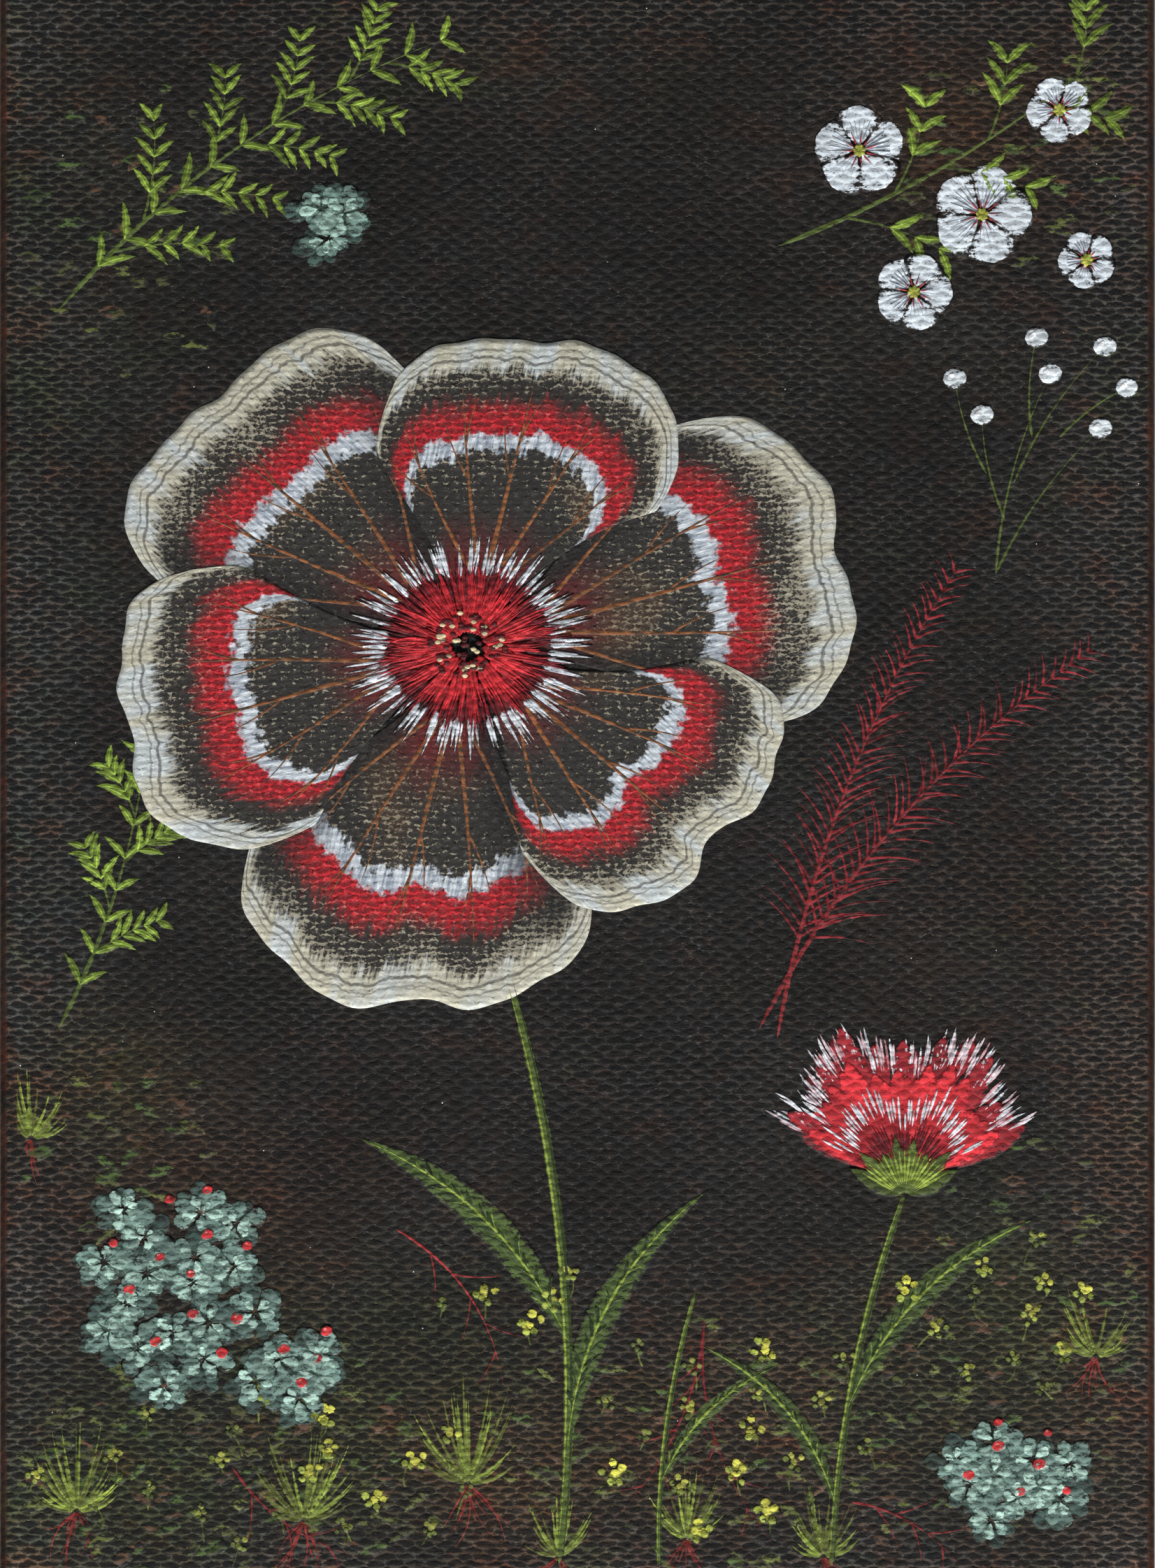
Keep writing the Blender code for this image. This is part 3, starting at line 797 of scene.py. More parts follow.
# Paint that lies under each stroke: the map is read at its places, and then the stroke itself goes into the
# map. Where the map is empty, onto is the colour of the piece below
def paintBelow(rows, place, shape, onto):
    below = np.zeros((*place.shape[:3], 4))
    for number, row in enumerate(rows):
        found = paintMap[mapCells(place[number])]
        below[number] = np.where(found[..., 3:] > 0, found, (*onto, 1.0)) if onto else found
        span = np.linalg.norm(row[4:6] - row[0:2])
        t = np.linspace(0, 1, int(1.5 * span / film["cell"]) + 4)[None, :, None]
        s = np.linspace(-0.7, 0.7, int(1.2 * row[6] / film["cell"]) + 2)
        paintMap[mapCells(acrossCurves(row[None], t, s, shape)[2])] = (*row[8:11], 1.0)
    return below


# Layers a painted piece carries: thread numbers, the ground under it, its colour, its place along and
# across the brush (mm) and how well it covers
def paintLayers(points, colour, brush, cover):
    a, b = threadAt(points[:, 0], points[:, 2])
    return {"thread": np.stack([a, b, 0 * a], -1), "ground": groundColour(points[:, 0], points[:, 2]),
            "paint": colour, "brush": brush, "cover": cover}


# One piece of films along the curves of some tables. Across, s from -1 to 1, the film is a low arch that
# follows the cloth and dips into it at both edges; one hidden point closes it below.
# Its cover is peak - dry * t^2 - fade * |s|^3
def strokePiece(name, tables, shape="taper", columns=3, dry=0.5, peak=1.15, onto=None, **look):
    rows = np.concatenate(tables)
    span = np.linalg.norm(rows[:, 4:6] - rows[:, 0:2], axis=1)
    least = 5 + 2 * columns if columns > 3 else 6
    rings = int(np.clip(math.ceil(span.max() / film["step"]) + 1, least, 80))
    t = np.linspace(0, 1, rings)[None, :, None]
    s = np.linspace(-1, 1, columns + 2)
    middle, half, place = acrossCurves(rows, t, s, shape)
    below = paintBelow(rows, place, shape, onto)
    body = np.minimum(film["body"], film["slim"] * rows[:, 6] * mm)[:, None, None]
    inside = np.abs(s) < 1
    arch = np.where(inside, body * (0.6 + 0.4 * np.sqrt(1 - s ** 2)), -body * film["sunk"] / film["body"])
    lift = rows[:, 7, None, None] * mm * np.where(inside, 1.0, 0.55)
    x, z = place[..., 0] * mm, place[..., 1] * mm
    face = np.stack([x, frontY - clothHeight(x, z) - arch - lift, z], -1)
    root = np.insert(middle * mm, 1, frontY + film["under"], -1)
    points = np.concatenate([face, root[:, :, None]], 2)
    index = np.arange(points.size // 3).reshape(points.shape[:3])
    faces = [ringFaces(index[:, :-1], index[:, 1:]), index[:, 0], index[:, -1, ::-1]]
    across = np.concatenate([half[..., None] * s, 0 * half[..., None]], 2)
    number = np.arange(len(rows))[:, None, None] * 3.7
    brush = np.stack(np.broadcast_arrays(t * span[:, None, None], across, number), -1)
    cover = peak - dry * t ** 2 - film["fade"] * np.append(np.abs(s), 0) ** 3 + 0 * across
    colour = np.broadcast_to(rows[:, None, None, 8:11], brush.shape)
    below = np.concatenate([below, 0 * below[:, :, :1]], 2).reshape(-1, 4)
    points, colour, brush = (values.reshape(-1, 3) for values in (points, colour, brush))
    layers = paintLayers(points, colour, brush, cover.ravel())
    layers["below"], layers["wet"] = below[:, :3], below[:, 3]
    makePiece(name, points, faces, paintFinish(name + "_finish", **look), layers)


# Paint of any colour: streaked along the brush, thin where the stroke runs dry, with painted shade above
# each crown of the weave, and gone from its pits. Where it is gone, the ground or an earlier mark shows
def paintFinish(name, streak=0.5, pits=0.6, vary=0.35, torn=1.3, paintedShade=0.42, colour=None, cover=None):
    look = Finish(name)
    height, lens, pit = weaveNodes(look)
    dark, grain = darkGround(look, lens)
    tear = look.clouds(0.32 * mm, 3.0, 0.65, (0.7, 1.0, 1.2))
    hairs = look.clouds(0.42, 3.0, 0.6, (0.16, 1.0, 1.0), "brush")
    loads = look.clouds(1.8, 2.0, 0.5, (0.35, 0.6, 1.0), "brush")
    colour = colour(look, hairs, grain, lens) if colour else look.layer("paint")
    cover = cover(look) if cover else look.share("cover")
    shade = hairs * 1.2 * vary + (loads * 1.2 * vary + 1 - 1.2 * vary)
    # Painted shade: the paint is darker on the upper side of each crown of the weave
    shade = shade * (grain * 0.6 + 0.7) * (between(lens, -0.25, 0.85) * -paintedShade + 1.10)
    dark = blend(look.share("wet") * 0.9, dark, tint(look.layer("below"), shade))
    amount = cover + pit * -pits + hairs * 2 * streak + grain * 1.3 + tear * 2 * torn
    amount = amount - (streak + 0.65 + torn)
    return look.done(blend(between(amount, 0.15, 0.65), dark, tint(colour, shade)), grain * 0.3 + 0.40,
                     height + hairs * 0.8 + grain * 0.5, 0.085 * mm, **{"Specular IOR Level": 0.22})


# The open flower: petals that lap over their neighbours, veins, a collar, a furry heart and seeds

flower = {
    "centre": (-12.0, 104.0), "squash": 0.90, "petals": 6, "turn": 0.30,
    "reach": (44, 39, 43, 40, 45, 38),      # mm, anticlockwise from the right
    "spread": 0.70,                         # half the angle of a petal
    "lower": 0.030, "upper": 0.095,         # lift of every second petal (mm)
    "rows": 84, "columns": 84,
    "charcoal": ((0.012, 0.012, 0.012), (0.042, 0.038, 0.033)), "stipple": (0.330, 0.290, 0.210),
    "flush": ((0.20, 0.010, 0.012), (0.07, 0.006, 0.008)), "warm": (0.085, 0.045, 0.020),
    "outer": ((0.026, 0.023, 0.020), (0.22, 0.195, 0.140), (0.33, 0.305, 0.235)),
    "red": ((0.16, 0.008, 0.012), (0.52, 0.018, 0.026), (0.56, 0.24, 0.25)),
    "white": ((0.30, 0.35, 0.42), (0.64, 0.69, 0.73)), "rim": ((0.48, 0.46, 0.36), (0.50, 0.54, 0.54)),
    "lines": ((0.938, 0.0026, 0.75), (0.962, 0.0018, 0.55)), "lineColour": (0.050, 0.044, 0.038),
    "shadow": (0.012, 0.011, 0.011),
    "paint": {"streak": 0.10, "pits": 0.45, "vary": 0.22, "torn": 0.15},
}


# Lift of a petal (mm): every second one lies on its neighbours
def petalLift(number):
    return flower["upper"] if number % 2 else flower["lower"]


# One petal: v from 0 at the heart to 1 at the rim, s from -1 to 1 across. The radius is 0.85 * reach * v and
# meets the rim with v^5; the rim is less at the sides, with a notch and ripples. The angle is spread * s,
# narrower at the heart
def petalPatch(number):
    v = np.linspace(0.10, 1, flower["rows"])[:, None]
    s = np.linspace(-1, 1, flower["columns"])[None, :]
    reach = flower["reach"][number]
    ripple = 0.8 * np.sin(4.1 * s + 2.1 * number) + 0.35 * np.sin(11 * s + number)
    ripple = ripple + 0.12 * np.sin(29 * s + 3 * number)
    notch = 1.8 * np.exp(-((s - 0.1 * math.sin(number * 2.0)) / 0.16) ** 2)
    rim = reach * (1 - 0.12 * s ** 2 - 0.17 * s ** 8) + ripple - notch
    r = 0.85 * reach * v + (rim - 0.85 * reach) * v ** 5
    middle = flower["turn"] + number * 2 * np.pi / flower["petals"]
    half = flower["spread"] * (0.50 + 0.50 * v ** 0.8) * (1 - 0.13 * v ** 10)
    angle = middle + half * s + 0.06 * np.sin(3 * v + number) * v
    face = (np.array(flower["centre"]) + r[..., None] * ray(angle, flower["squash"])) * mm
    x, z = face[..., 0], face[..., 1]
    edge = easeStep(0, 0.03, 1 - v) * easeStep(0, 0.03, 1 - np.abs(s))
    y = frontY - clothHeight(x, z) - petalLift(number) * mm - film["body"] * (0.3 + 0.7 * edge)
    brush = np.stack(np.broadcast_arrays(r, r * (angle - middle), 9.0 * number), -1)
    place = np.stack(np.broadcast_arrays(r / rim, s, number % 2), -1)
    return [values.reshape(-1, 3) for values in (np.stack([x, y, z], -1), brush, place)]


# All petals in one piece; each is closed by a wall round its rim and a face below
def buildPetals(material):
    parts, faces, borders, total = [], [], [], 0
    for number in range(flower["petals"]):
        face, brush, place = petalPatch(number)
        index = np.arange(len(face)).reshape(flower["rows"], flower["columns"])
        rim = gridRim(index)
        under = face[rim]
        under[:, 1] = frontY + film["under"]
        deep = len(face) + np.arange(len(rim))
        pairs = (face, under), (brush, brush[rim]), (place, place[rim])
        parts.append([np.concatenate(pair) for pair in pairs])
        faces += [total + gridFaces(index), total + ringFaces(rim, deep)]
        borders.append(total + deep[::-1])
        total += len(face) + len(rim)
    points, brush, place = (np.concatenate(values) for values in zip(*parts))
    layers = paintLayers(points, np.zeros((len(points), 3)), brush, np.ones(len(points)))
    layers["petal"] = place
    faces = [np.concatenate(faces), np.array(borders)]
    makePiece("paint_petals", points, faces, material, layers, flat=[len(borders[0])])


# Petal colours from heart to rim: dark red flush, charcoal, cream caught on the weave's ridges, a white
# band with a lumpy edge and a mottled red one that fades outwards, a cream rim with two fine dark lines
def petalColour(look, hairs, grain, lens):
    share, s, upper = look.split(look.layer("petal"))
    sway = look.clouds(3.2, 2.5, 0.6, (0.2, 1.0, 1.0), "brush")
    broad = look.clouds(6.0, 2.0, 0.5, (0.5, 0.5, 1.0), "brush")
    crumbs = look.clouds(0.40 * mm, 3.0, 0.65, (1.0, 1.0, 1.2))
    bent = sway * 0.07 + (share - 0.035)
    frayed = bent + hairs * 0.14 - 0.07
    soft = bent + hairs * 0.04 + look.clouds(0.9 * mm, 3.0, 0.6) * 0.10 - 0.07
    net = between(lens, 0.30, -0.45)
    ridge = grain * 1.7 + (net * 0.66 - 4.32) + crumbs * 4.0 + broad * 2.2
    stipple = between(ridge + between(bent, 0.20, 0.66, -0.46, 0.02), 0.08, 0.46)
    colour = blend(stipple * 0.85, blend(grain, *flower["charcoal"]), flower["stipple"])
    colour = blend(between(frayed, 0.46, 0.20) * 0.85, colour, blend(hairs, *flower["flush"]))
    colour = blend(between(broad, 0.50, 0.66) * 0.40, colour, flower["warm"])
    heavy = between(ridge + between(bent, 0.78, 0.93, -0.22, 0.55), -0.05, 0.40)
    dark, low, high = flower["outer"]
    colour = blend(between(bent, 0.74, 0.78), colour, blend(heavy, dark, blend(broad, low, high)))
    caught = net * 0.30 + grain + crumbs - 0.15
    dark, bright, pale = flower["red"]
    rose = blend(between(caught, 0.70, 1.15), dark, bright)
    rose = blend(between(caught, 1.18, 1.45, 0.0, 0.55), rose, pale)
    colour = blend(between(bent, 0.665, 0.685) * between(frayed, 0.820, 0.735), colour, rose)
    white = between(soft, 0.622, 0.640) * between(soft, 0.694, 0.672)
    colour = blend(white * 0.92, colour, blend(between(hairs, 0.35, 0.62), *flower["white"]))
    colour = blend(between(frayed, 0.885, 0.925), colour, blend(between(sway, 0.42, 0.66), *flower["rim"]))
    for line, width, depth in flower["lines"]:
        thin = between(abs(bent - line), width, width * 2.4, depth, 0.0) * between(grain, 0.25, 0.5)
        colour = blend(thin, colour, flower["lineColour"])
    aside = abs(s)
    shade = between(aside, 0.45, 0.85, 0.0, 0.85) * (1.0 - upper)
    shade = most(shade, between(aside, 0.955, 0.985, 0.0, 0.6)) * between(share, 0.93, 0.84)
    return blend(shade, colour, flower["shadow"])


# Cover of the petals: thicker paint towards the rim
def petalCover(look):
    return between(look.split(look.layer("petal"))[0], 0.60, 0.88, 1.10, 1.65)


print("open flower")
buildPetals(paintFinish("paint_petals_finish", colour=petalColour, cover=petalCover, **flower["paint"]))

# Five veins on every petal, and two forks off each
veins = {
    "sides": (-0.44, -0.22, 0.0, 0.22, 0.44), "start": 9, "width": 0.90, "colour": (0.20, 0.072, 0.024),
    "forkAt": (0.50, 0.68), "forkLean": (0.30, -0.28), "forkLong": (7.5, 6.0),
    "fork": {"width": 0.42, "colour": (0.17, 0.065, 0.024), "bow": 0.08},
    "paint": {"streak": 1.1, "pits": 0.8, "dry": 0.35, "onto": (0.075, 0.064, 0.048)},
}
centre = np.array(flower["centre"])
rows = []
for number, reach in enumerate(flower["reach"]):
    for side in veins["sides"]:
        middle = flower["turn"] + number * np.pi / 3
        begin = centre + veins["start"] * ray(middle + 0.4 * side, flower["squash"])
        finish = centre + reach * (0.84 - 0.5 * side ** 2) * ray(middle + 1.1 * side, flower["squash"])
        width, lift = veins["width"] - 0.6 * abs(side), petalLift(number) + 0.030
        rows.append(strokes(begin, finish, width, veins["colour"], 0.10 * side, lift))
for row in np.concatenate(rows):
    place, way = along(row, veins["forkAt"])
    turned = way + np.array(veins["forkLean"]) + 0.05 * chance.normal(size=2)
    tip = place + column(veins["forkLong"], 2) * ray(turned)
    rows.append(strokes(place, tip, lift=row[7], **veins["fork"]))
strokePiece("paint_veins", rows, **veins["paint"])

# White hairs around the heart
collar = {
    "count": 150, "start": 8.6, "long": 2.6,
    "hair": {"width": 0.62, "colour": (0.54, 0.58, 0.62), "lift": 0.17, "spread": 0.20},
    "paint": {"streak": 0.5, "pits": 0.4, "dry": 0.7, "onto": (0.060, 0.048, 0.042)},
}
count = collar["count"]
angles = np.linspace(0, 2 * np.pi, count, endpoint=False) + 0.05 * chance.normal(size=count)
inner = collar["start"] + 0.8 * chance.random(count)
outer = inner + collar["long"] * (1 + chance.random(count))
hairs = fan(centre, angles, inner, outer, squash=flower["squash"], **collar["hair"])
strokePiece("paint_collar", [hairs], **collar["paint"])

# Rings of red hairs, each over the one before
heart = {
    "rings": (      # inner and outer radius, count, colour
        (6.4, 10.2, 150, (0.10, 0.006, 0.010)), (4.6, 9.4, 150, (0.30, 0.012, 0.018)),
        (3.4, 7.6, 120, (0.52, 0.022, 0.030)), (1.8, 5.4, 90, (0.40, 0.016, 0.022))),
    "width": 0.62, "paint": {"streak": 0.35, "pits": 0.25, "dry": 0.3, "onto": (0.060, 0.006, 0.008)},
}
rows = []
for ring, (low, high, count, tone) in enumerate(heart["rings"]):
    angles = 2 * np.pi * chance.random(count)
    inner, outer = (radius * (0.85 + 0.3 * chance.random(count)) for radius in (low, high))
    rows.append(fan(centre, angles, inner, outer, heart["width"], tone, flower["squash"],
                    bow=0.08 * chance.normal(size=count), lift=0.20 + 0.04 * ring, spread=0.25))
strokePiece("paint_heart", rows, **heart["paint"])

seeds = {
    "count": 90, "radius": 4.2, "pale": (0.60, 0.50, 0.30), "dark": (0.07, 0.006, 0.008),
    "size": {"reach": (0.35, 0), "width": 0.62, "lift": 0.40},
    "paint": {"streak": 0.2, "pits": 0.1, "dry": 0.0},
}
count = seeds["count"]
angles = 2 * np.pi * chance.random(count)
places = centre + column(seeds["radius"] * np.sqrt(chance.random(count)), count) * ray(angles, 0.9)
tone = np.where(chance.random((count, 1)) < 0.35, seeds["pale"], seeds["dark"])
strokePiece("paint_seeds", [dots(places, colour=tone, **seeds["size"])], "round", **seeds["paint"])


# Leaves in pairs along a stem: each leans off the stem by lean, and its length falls towards the tip
def leafPairs(row, count, length, width, lean, colour, first=0.1, thin=0.6, last=0.98, **more):
    t = np.linspace(first, last, count)
    place, way = along(row, t)
    parts = []
    for side in (-1, 1):
        angle = way + side * (lean + 0.12 * chance.normal(size=count))
        reach = length * (1 - thin * t) * (0.85 + 0.3 * chance.random(count))
        tip = place + reach[:, None] * ray(angle)
        parts.append(strokes(place, tip, width, colour, bow=-0.12 * side, **more))
    return np.concatenate(parts)


# Side stems off a main stem, alternating, each bent a little upwards, shorter towards the tip
def branches(row, shares, length, lean, width, colour):
    shares = np.linspace(*shares)
    place, way = along(row, shares)
    side = np.where(np.arange(len(shares)) % 2, 1.0, -1.0)
    reach = length * (1 - 0.45 * shares)
    return strokes(place, place + reach[:, None] * ray(way + side * lean), width, colour, bow=-0.10 * side)


print("plumes")
plumes = {
    "ribs": {"start": [(20, 62), (22, 61)], "end": [(57, 104), (42, 113)], "width": 0.75,
             "colour": (0.16, 0.014, 0.016), "bow": (0.13, 0.10)},
    "barbs": {"count": 38, "length": 8.5, "width": 0.44, "lean": 0.85, "colour": (0.175, 0.012, 0.016),
              "first": 0.20, "thin": 0.70, "spread": 0.3},
    "paint": {"streak": 0.5, "pits": 0.7, "dry": 0.5},
}
ribs = strokes(**plumes["ribs"])
strokePiece("paint_plumes", [ribs] + [leafPairs(row, **plumes["barbs"]) for row in ribs], **plumes["paint"])

print("sprigs")
lime, olive, grassGreen = (0.130, 0.190, 0.025), (0.070, 0.100, 0.020), (0.210, 0.280, 0.040)

# Stems that branch, and small leaves in pairs. For each stem its branches (first, last and number, length,
# lean, width), and the leaves (count, length, width, lean, first, thinning) of the stem and of its branches
sprigs = {
    "stems": {"start": [(-57, 141), (-57, 62), (22, 148)], "end": [(-14, 171), (-47, 96), (60, 171)],
              "width": 0.75, "colour": olive, "bow": (0.13, -0.10, -0.09)},
    "branches": (((0.16, 0.86, 9), 13.0, 0.72, 0.45), ((0.25, 0.85, 5), 9.0, 0.70, 0.40),
                 ((0.18, 0.85, 6), 12.0, 0.75, 0.45)),
    "stemLeaves": ((12, 4.6, 1.25, 0.80, 0.12, 0.3), (9, 4.0, 1.1, 0.80, 0.15, 0.3)),
    "branchLeaves": ((5, 3.6, 1.05, 0.75, 0.30, 0.35), (5, 3.6, 1.05, 0.75, 0.30, 0.35),
                     (3, 4.2, 1.3, 0.70, 0.45, 0.2)),
    "ribWidth": 0.28, "ribLift": 0.045, "ribLight": 1.9,
    "stemPaint": {"streak": 0.6, "pits": 0.5, "dry": 0.4},
    "leafPaint": {"streak": 0.5, "pits": 0.45, "dry": 0.25},
    "ribPaint": {"streak": 0.7, "pits": 0.5, "dry": 0.5},
}
stems = strokes(**sprigs["stems"])
sideStems = [branches(row, *sizes, olive) for row, sizes in zip(stems, sprigs["branches"])]
leaves = [leafPairs(row, *sizes[:4], lime, *sizes[4:]) for row, sizes in zip(stems, sprigs["stemLeaves"])]
for group, sizes in zip(sideStems, sprigs["branchLeaves"]):
    leaves += [leafPairs(row, *sizes[:4], lime, *sizes[4:], spread=0.22) for row in group]
strokePiece("paint_stems", [stems, *sideStems], **sprigs["stemPaint"])
strokePiece("paint_leaves", leaves, "leaf", **sprigs["leafPaint"])
ribs = np.concatenate(leaves)
ribs[:, 6], ribs[:, 7] = sprigs["ribWidth"], sprigs["ribLift"]
ribs[:, 8:11] *= sprigs["ribLight"]
strokePiece("paint_leaf_ribs", [ribs], **sprigs["ribPaint"])

print("blossoms")
blossoms = {
    "places": ((31, 158.5, 10.0, 0.3), (44.5, 151.5, 11.0, 1.2), (37, 143, 8.6, 2.4), (53, 163, 7.4, 0.7),
               (56, 146.5, 6.4, 1.9)),      # x, z, size and turn
    "petal": {"colour": (0.62, 0.68, 0.73), "bow": 0.05, "spread": 0.06},
    "fold": {"width": 0.22, "colour": (0.42, 0.47, 0.53), "lift": 0.13, "spread": 0.1},
    "button": {"width": 0.62, "colour": (0.33, 0.35, 0.05), "lift": 0.24, "spread": 0.2},
    "thread": {"width": 0.24, "colour": (0.36, 0.030, 0.035), "lift": 0.22, "spread": 0.2},
    "petalPaint": {"streak": 0.45, "pits": 0.45, "vary": 0.5, "columns": 9, "dry": 0.0},
    "foldPaint": {"streak": 0.6, "pits": 0.4, "dry": 0.6},
    "buttonPaint": {"streak": 0.3, "pits": 0.2, "dry": 0.0},
}
petals, folds, buttons, threads = [], [], [], []
for x, z, size, turn in blossoms["places"]:
    angles = turn + np.arange(5) * 2 * np.pi / 5
    lift = 0.03 * np.arange(5)
    petals.append(fan((x, z), angles, 0.5, size / 2, size / 2, lift=lift, **blossoms["petal"]))
    fine = np.repeat(angles, 5) + np.tile(np.linspace(-0.34, 0.34, 5), 5)
    folds.append(fan((x, z), fine, 0.9, size * 0.34, **blossoms["fold"]))
    buttons.append(fan((x, z), turn + np.arange(7) * 0.9, 0.0, 0.75, **blossoms["button"]))
    tips = size * 0.19 + 0.5 * chance.random(11)
    threads.append(fan((x, z), turn + np.arange(11) * 0.571, 0.7, tips, **blossoms["thread"]))
strokePiece("paint_blossoms", petals, "petal", **blossoms["petalPaint"])
strokePiece("paint_folds", folds + threads, **blossoms["foldPaint"])
strokePiece("paint_hearts", buttons, "round", **blossoms["buttonPaint"])

# White berries on thin stalks
berries = {
    "stalks": {"start": [(46, 112), (46, 112), (47, 118), (48, 122), (50, 127), (53, 127), (45, 123)],
               "end": [(52, 134), (57.5, 128), (44.5, 129.5), (58, 137), (50.5, 138), (60.5, 132.5),
                       (41.5, 133.5)], "width": 0.42, "colour": olive, "bow": 0.1},
    "ball": {"reach": (1.3, 0.2), "width": 2.4, "colour": (0.58, 0.63, 0.66), "lift": 0.02},
    "gleam": {"width": 0.6, "colour": (0.80, 0.82, 0.84), "lift": 0.10},
    "stalkPaint": {"streak": 0.6, "pits": 0.5, "dry": 0.3},
    "paint": {"streak": 0.3, "pits": 0.35, "columns": 5, "dry": 0.1},
}
stalks = strokes(**berries["stalks"])
places = stalks[:, 4:6]
balls = dots(places, **berries["ball"])
gleams = strokes(places - (0.8, 0.1), places - (0.1, -0.5), **berries["gleam"])
strokePiece("paint_stalks", [stalks], **berries["stalkPaint"])
strokePiece("paint_berries", [balls, gleams], "round", **berries["paint"])

# A flower from the side, lower right: a fan of fringed petals in three layers over a cup of sepals

print("side flower")
sideFlower = {
    "foot": (36.0, 45.0), "blades": 22, "from": 0.50, "to": 2.64,       # angles of the fan
    "long": 16.0,
    "outer": {"width": 3.4, "colour": (0.24, 0.014, 0.020), "spread": 0.25},
    "middle": {"width": 2.6, "colour": (0.50, 0.024, 0.032), "lift": 0.08, "spread": 0.22},
    "inner": {"width": 2.0, "colour": (0.30, 0.014, 0.020), "lift": 0.12, "spread": 0.22},
    "hairs": 150, "pale": (0.60, 0.64, 0.68), "rosy": (0.46, 0.16, 0.18),
    "dark": {"width": 0.30, "colour": (0.08, 0.006, 0.010), "lift": 0.17, "spread": 0.2},
    "sepal": {"width": 2.4, "colour": olive, "squash": 0.95, "lift": 0.19, "spread": 0.2},
    "rim": {"width": 0.36, "colour": grassGreen, "squash": 0.95, "lift": 0.24, "spread": 0.25},
    "fanPaint": {"streak": 0.5, "pits": 0.5, "columns": 7, "dry": 0.1},
    "fringePaint": {"streak": 0.6, "pits": 0.4, "dry": 0.4},
    "cupPaint": {"streak": 0.5, "pits": 0.4, "columns": 5, "dry": 0.2},
}
foot = np.array(sideFlower["foot"])
count = sideFlower["blades"]
angles = np.linspace(sideFlower["from"], sideFlower["to"], count) + 0.03 * chance.normal(size=count)
crown = sideFlower["long"] + 1.6 * np.sin(angles * 7) + 0.7 * chance.normal(size=count)
rows = [fan(foot, angles, 2.0, crown, lift=0.02 * (np.arange(count) % 3), **sideFlower["outer"]),
        fan(foot, angles[:-1] + 0.05, 2.0, crown[:-1] * 0.80, **sideFlower["middle"]),
        fan(foot, angles[1:-1] + 0.02, 2.0, crown[1:-1] * 0.52, **sideFlower["inner"])]
strokePiece("paint_fan", rows, "petal", **sideFlower["fanPaint"])
count = sideFlower["hairs"]
many = np.linspace(0.46, 2.68, count) + 0.014 * chance.normal(size=count)
tips = 15.6 + 1.6 * np.sin(many * 7) + 0.9 * chance.normal(size=count)
pale, blush = np.array(sideFlower["pale"]), chance.random((count, 1)) ** 2
tone = pale * (1 - blush) + np.array(sideFlower["rosy"]) * blush
rows = [fan(foot, many, tips * (0.80 + 0.1 * chance.random(count)), tips * 1.04, 0.36, tone, lift=0.06,
            bow=0.06 * chance.normal(size=count)),
        fan(foot, many[::3], tips[::3] * 0.46, tips[::3] * (0.60 + 0.08 * chance.random(count // 3)), 0.36,
            pale * 0.9, lift=0.15),
        fan(foot, many[1::3], 3.5, tips[1::3] * 0.40, **sideFlower["dark"])]
strokePiece("paint_fringe", rows, "lens", **sideFlower["fringePaint"])
foot = foot - (0, 1.5)
angles = np.linspace(sideFlower["from"], sideFlower["to"], 8)
cup = fan(foot, angles, 0.5, 6.6 + 0.9 * np.sin(np.arange(8) * 2.2), **sideFlower["sepal"])
rims = fan(foot, np.linspace(0.55, 2.60, 19), 1.5, 5.6, **sideFlower["rim"])
strokePiece("paint_cup", [cup, rims], "leaf", **sideFlower["cupPaint"])

# Tall stems with long leaves, their dark side ribs, light nerves and a light and a dark edge on each stem
longLeaves = {
    "stems": {"start": [(36, 43.8), (-7.5, 67.5), (9, 3)], "end": [(28, 3), (-2, 3), (13, 33)],
              "width": (1.0, 1.3, 0.7), "colour": olive, "bow": (-0.08, 0.10, 0.08)},
    "joints": ((1, (0.62, 0.80)), (0, (0.58, 0.84)), (2, (0.3,))),      # stem and shares along it
    "blades": {"end": [(-24, 50), (14, 44), (50, 41), (14, 27), (22, 25)],
               "width": (4.2, 3.8, 3.4, 2.6, 2.0), "bow": (-0.20, 0.22, 0.20, -0.22, 0.2),
               "colour": (0.050, 0.078, 0.018), "spread": 0.10},
    "nerves": {"count": 11, "width": 0.26, "lean": 0.42, "colour": (0.11, 0.155, 0.030), "last": 0.76,
               "lift": 0.05, "spread": 0.3},
    "shadows": {"count": 12, "width": 0.70, "lean": 0.42, "colour": (0.018, 0.032, 0.009), "first": 0.13,
                "last": 0.78, "lift": 0.03, "spread": 0.2},
    "stemPaint": {"streak": 0.6, "pits": 0.5, "columns": 5, "dry": 0.1},
    "leafPaint": {"streak": 0.55, "pits": 0.5, "vary": 0.5, "columns": 7, "dry": 0.2},
    "shadowPaint": {"streak": 0.7, "pits": 0.5, "dry": 0.3},
    "nervePaint": {"streak": 0.7, "pits": 0.6, "dry": 0.4},
}
tall = strokes(**longLeaves["stems"])
strokePiece("paint_tall_stems", [tall], "even", **longLeaves["stemPaint"])
joints = np.concatenate([along(tall[number], shares)[0] for number, shares in longLeaves["joints"]])
blades = strokes(joints, **longLeaves["blades"])
middles = blades.copy()
middles[:, 6], middles[:, 7], middles[:, 8:11] = 0.42, 0.05, grassGreen
nerves = [leafPairs(row, length=row[6] * 0.85, **longLeaves["nerves"]) for row in blades]
strokePiece("paint_long_leaves", [blades], "leaf", **longLeaves["leafPaint"])
shadows = [leafPairs(row, length=row[6] * 0.80, **longLeaves["shadows"]) for row in blades]
edges = np.concatenate([tall, tall])
edges[:, 0:6:2] += np.repeat((-0.24, 0.26), len(tall))[:, None] * edges[:, 6:7]
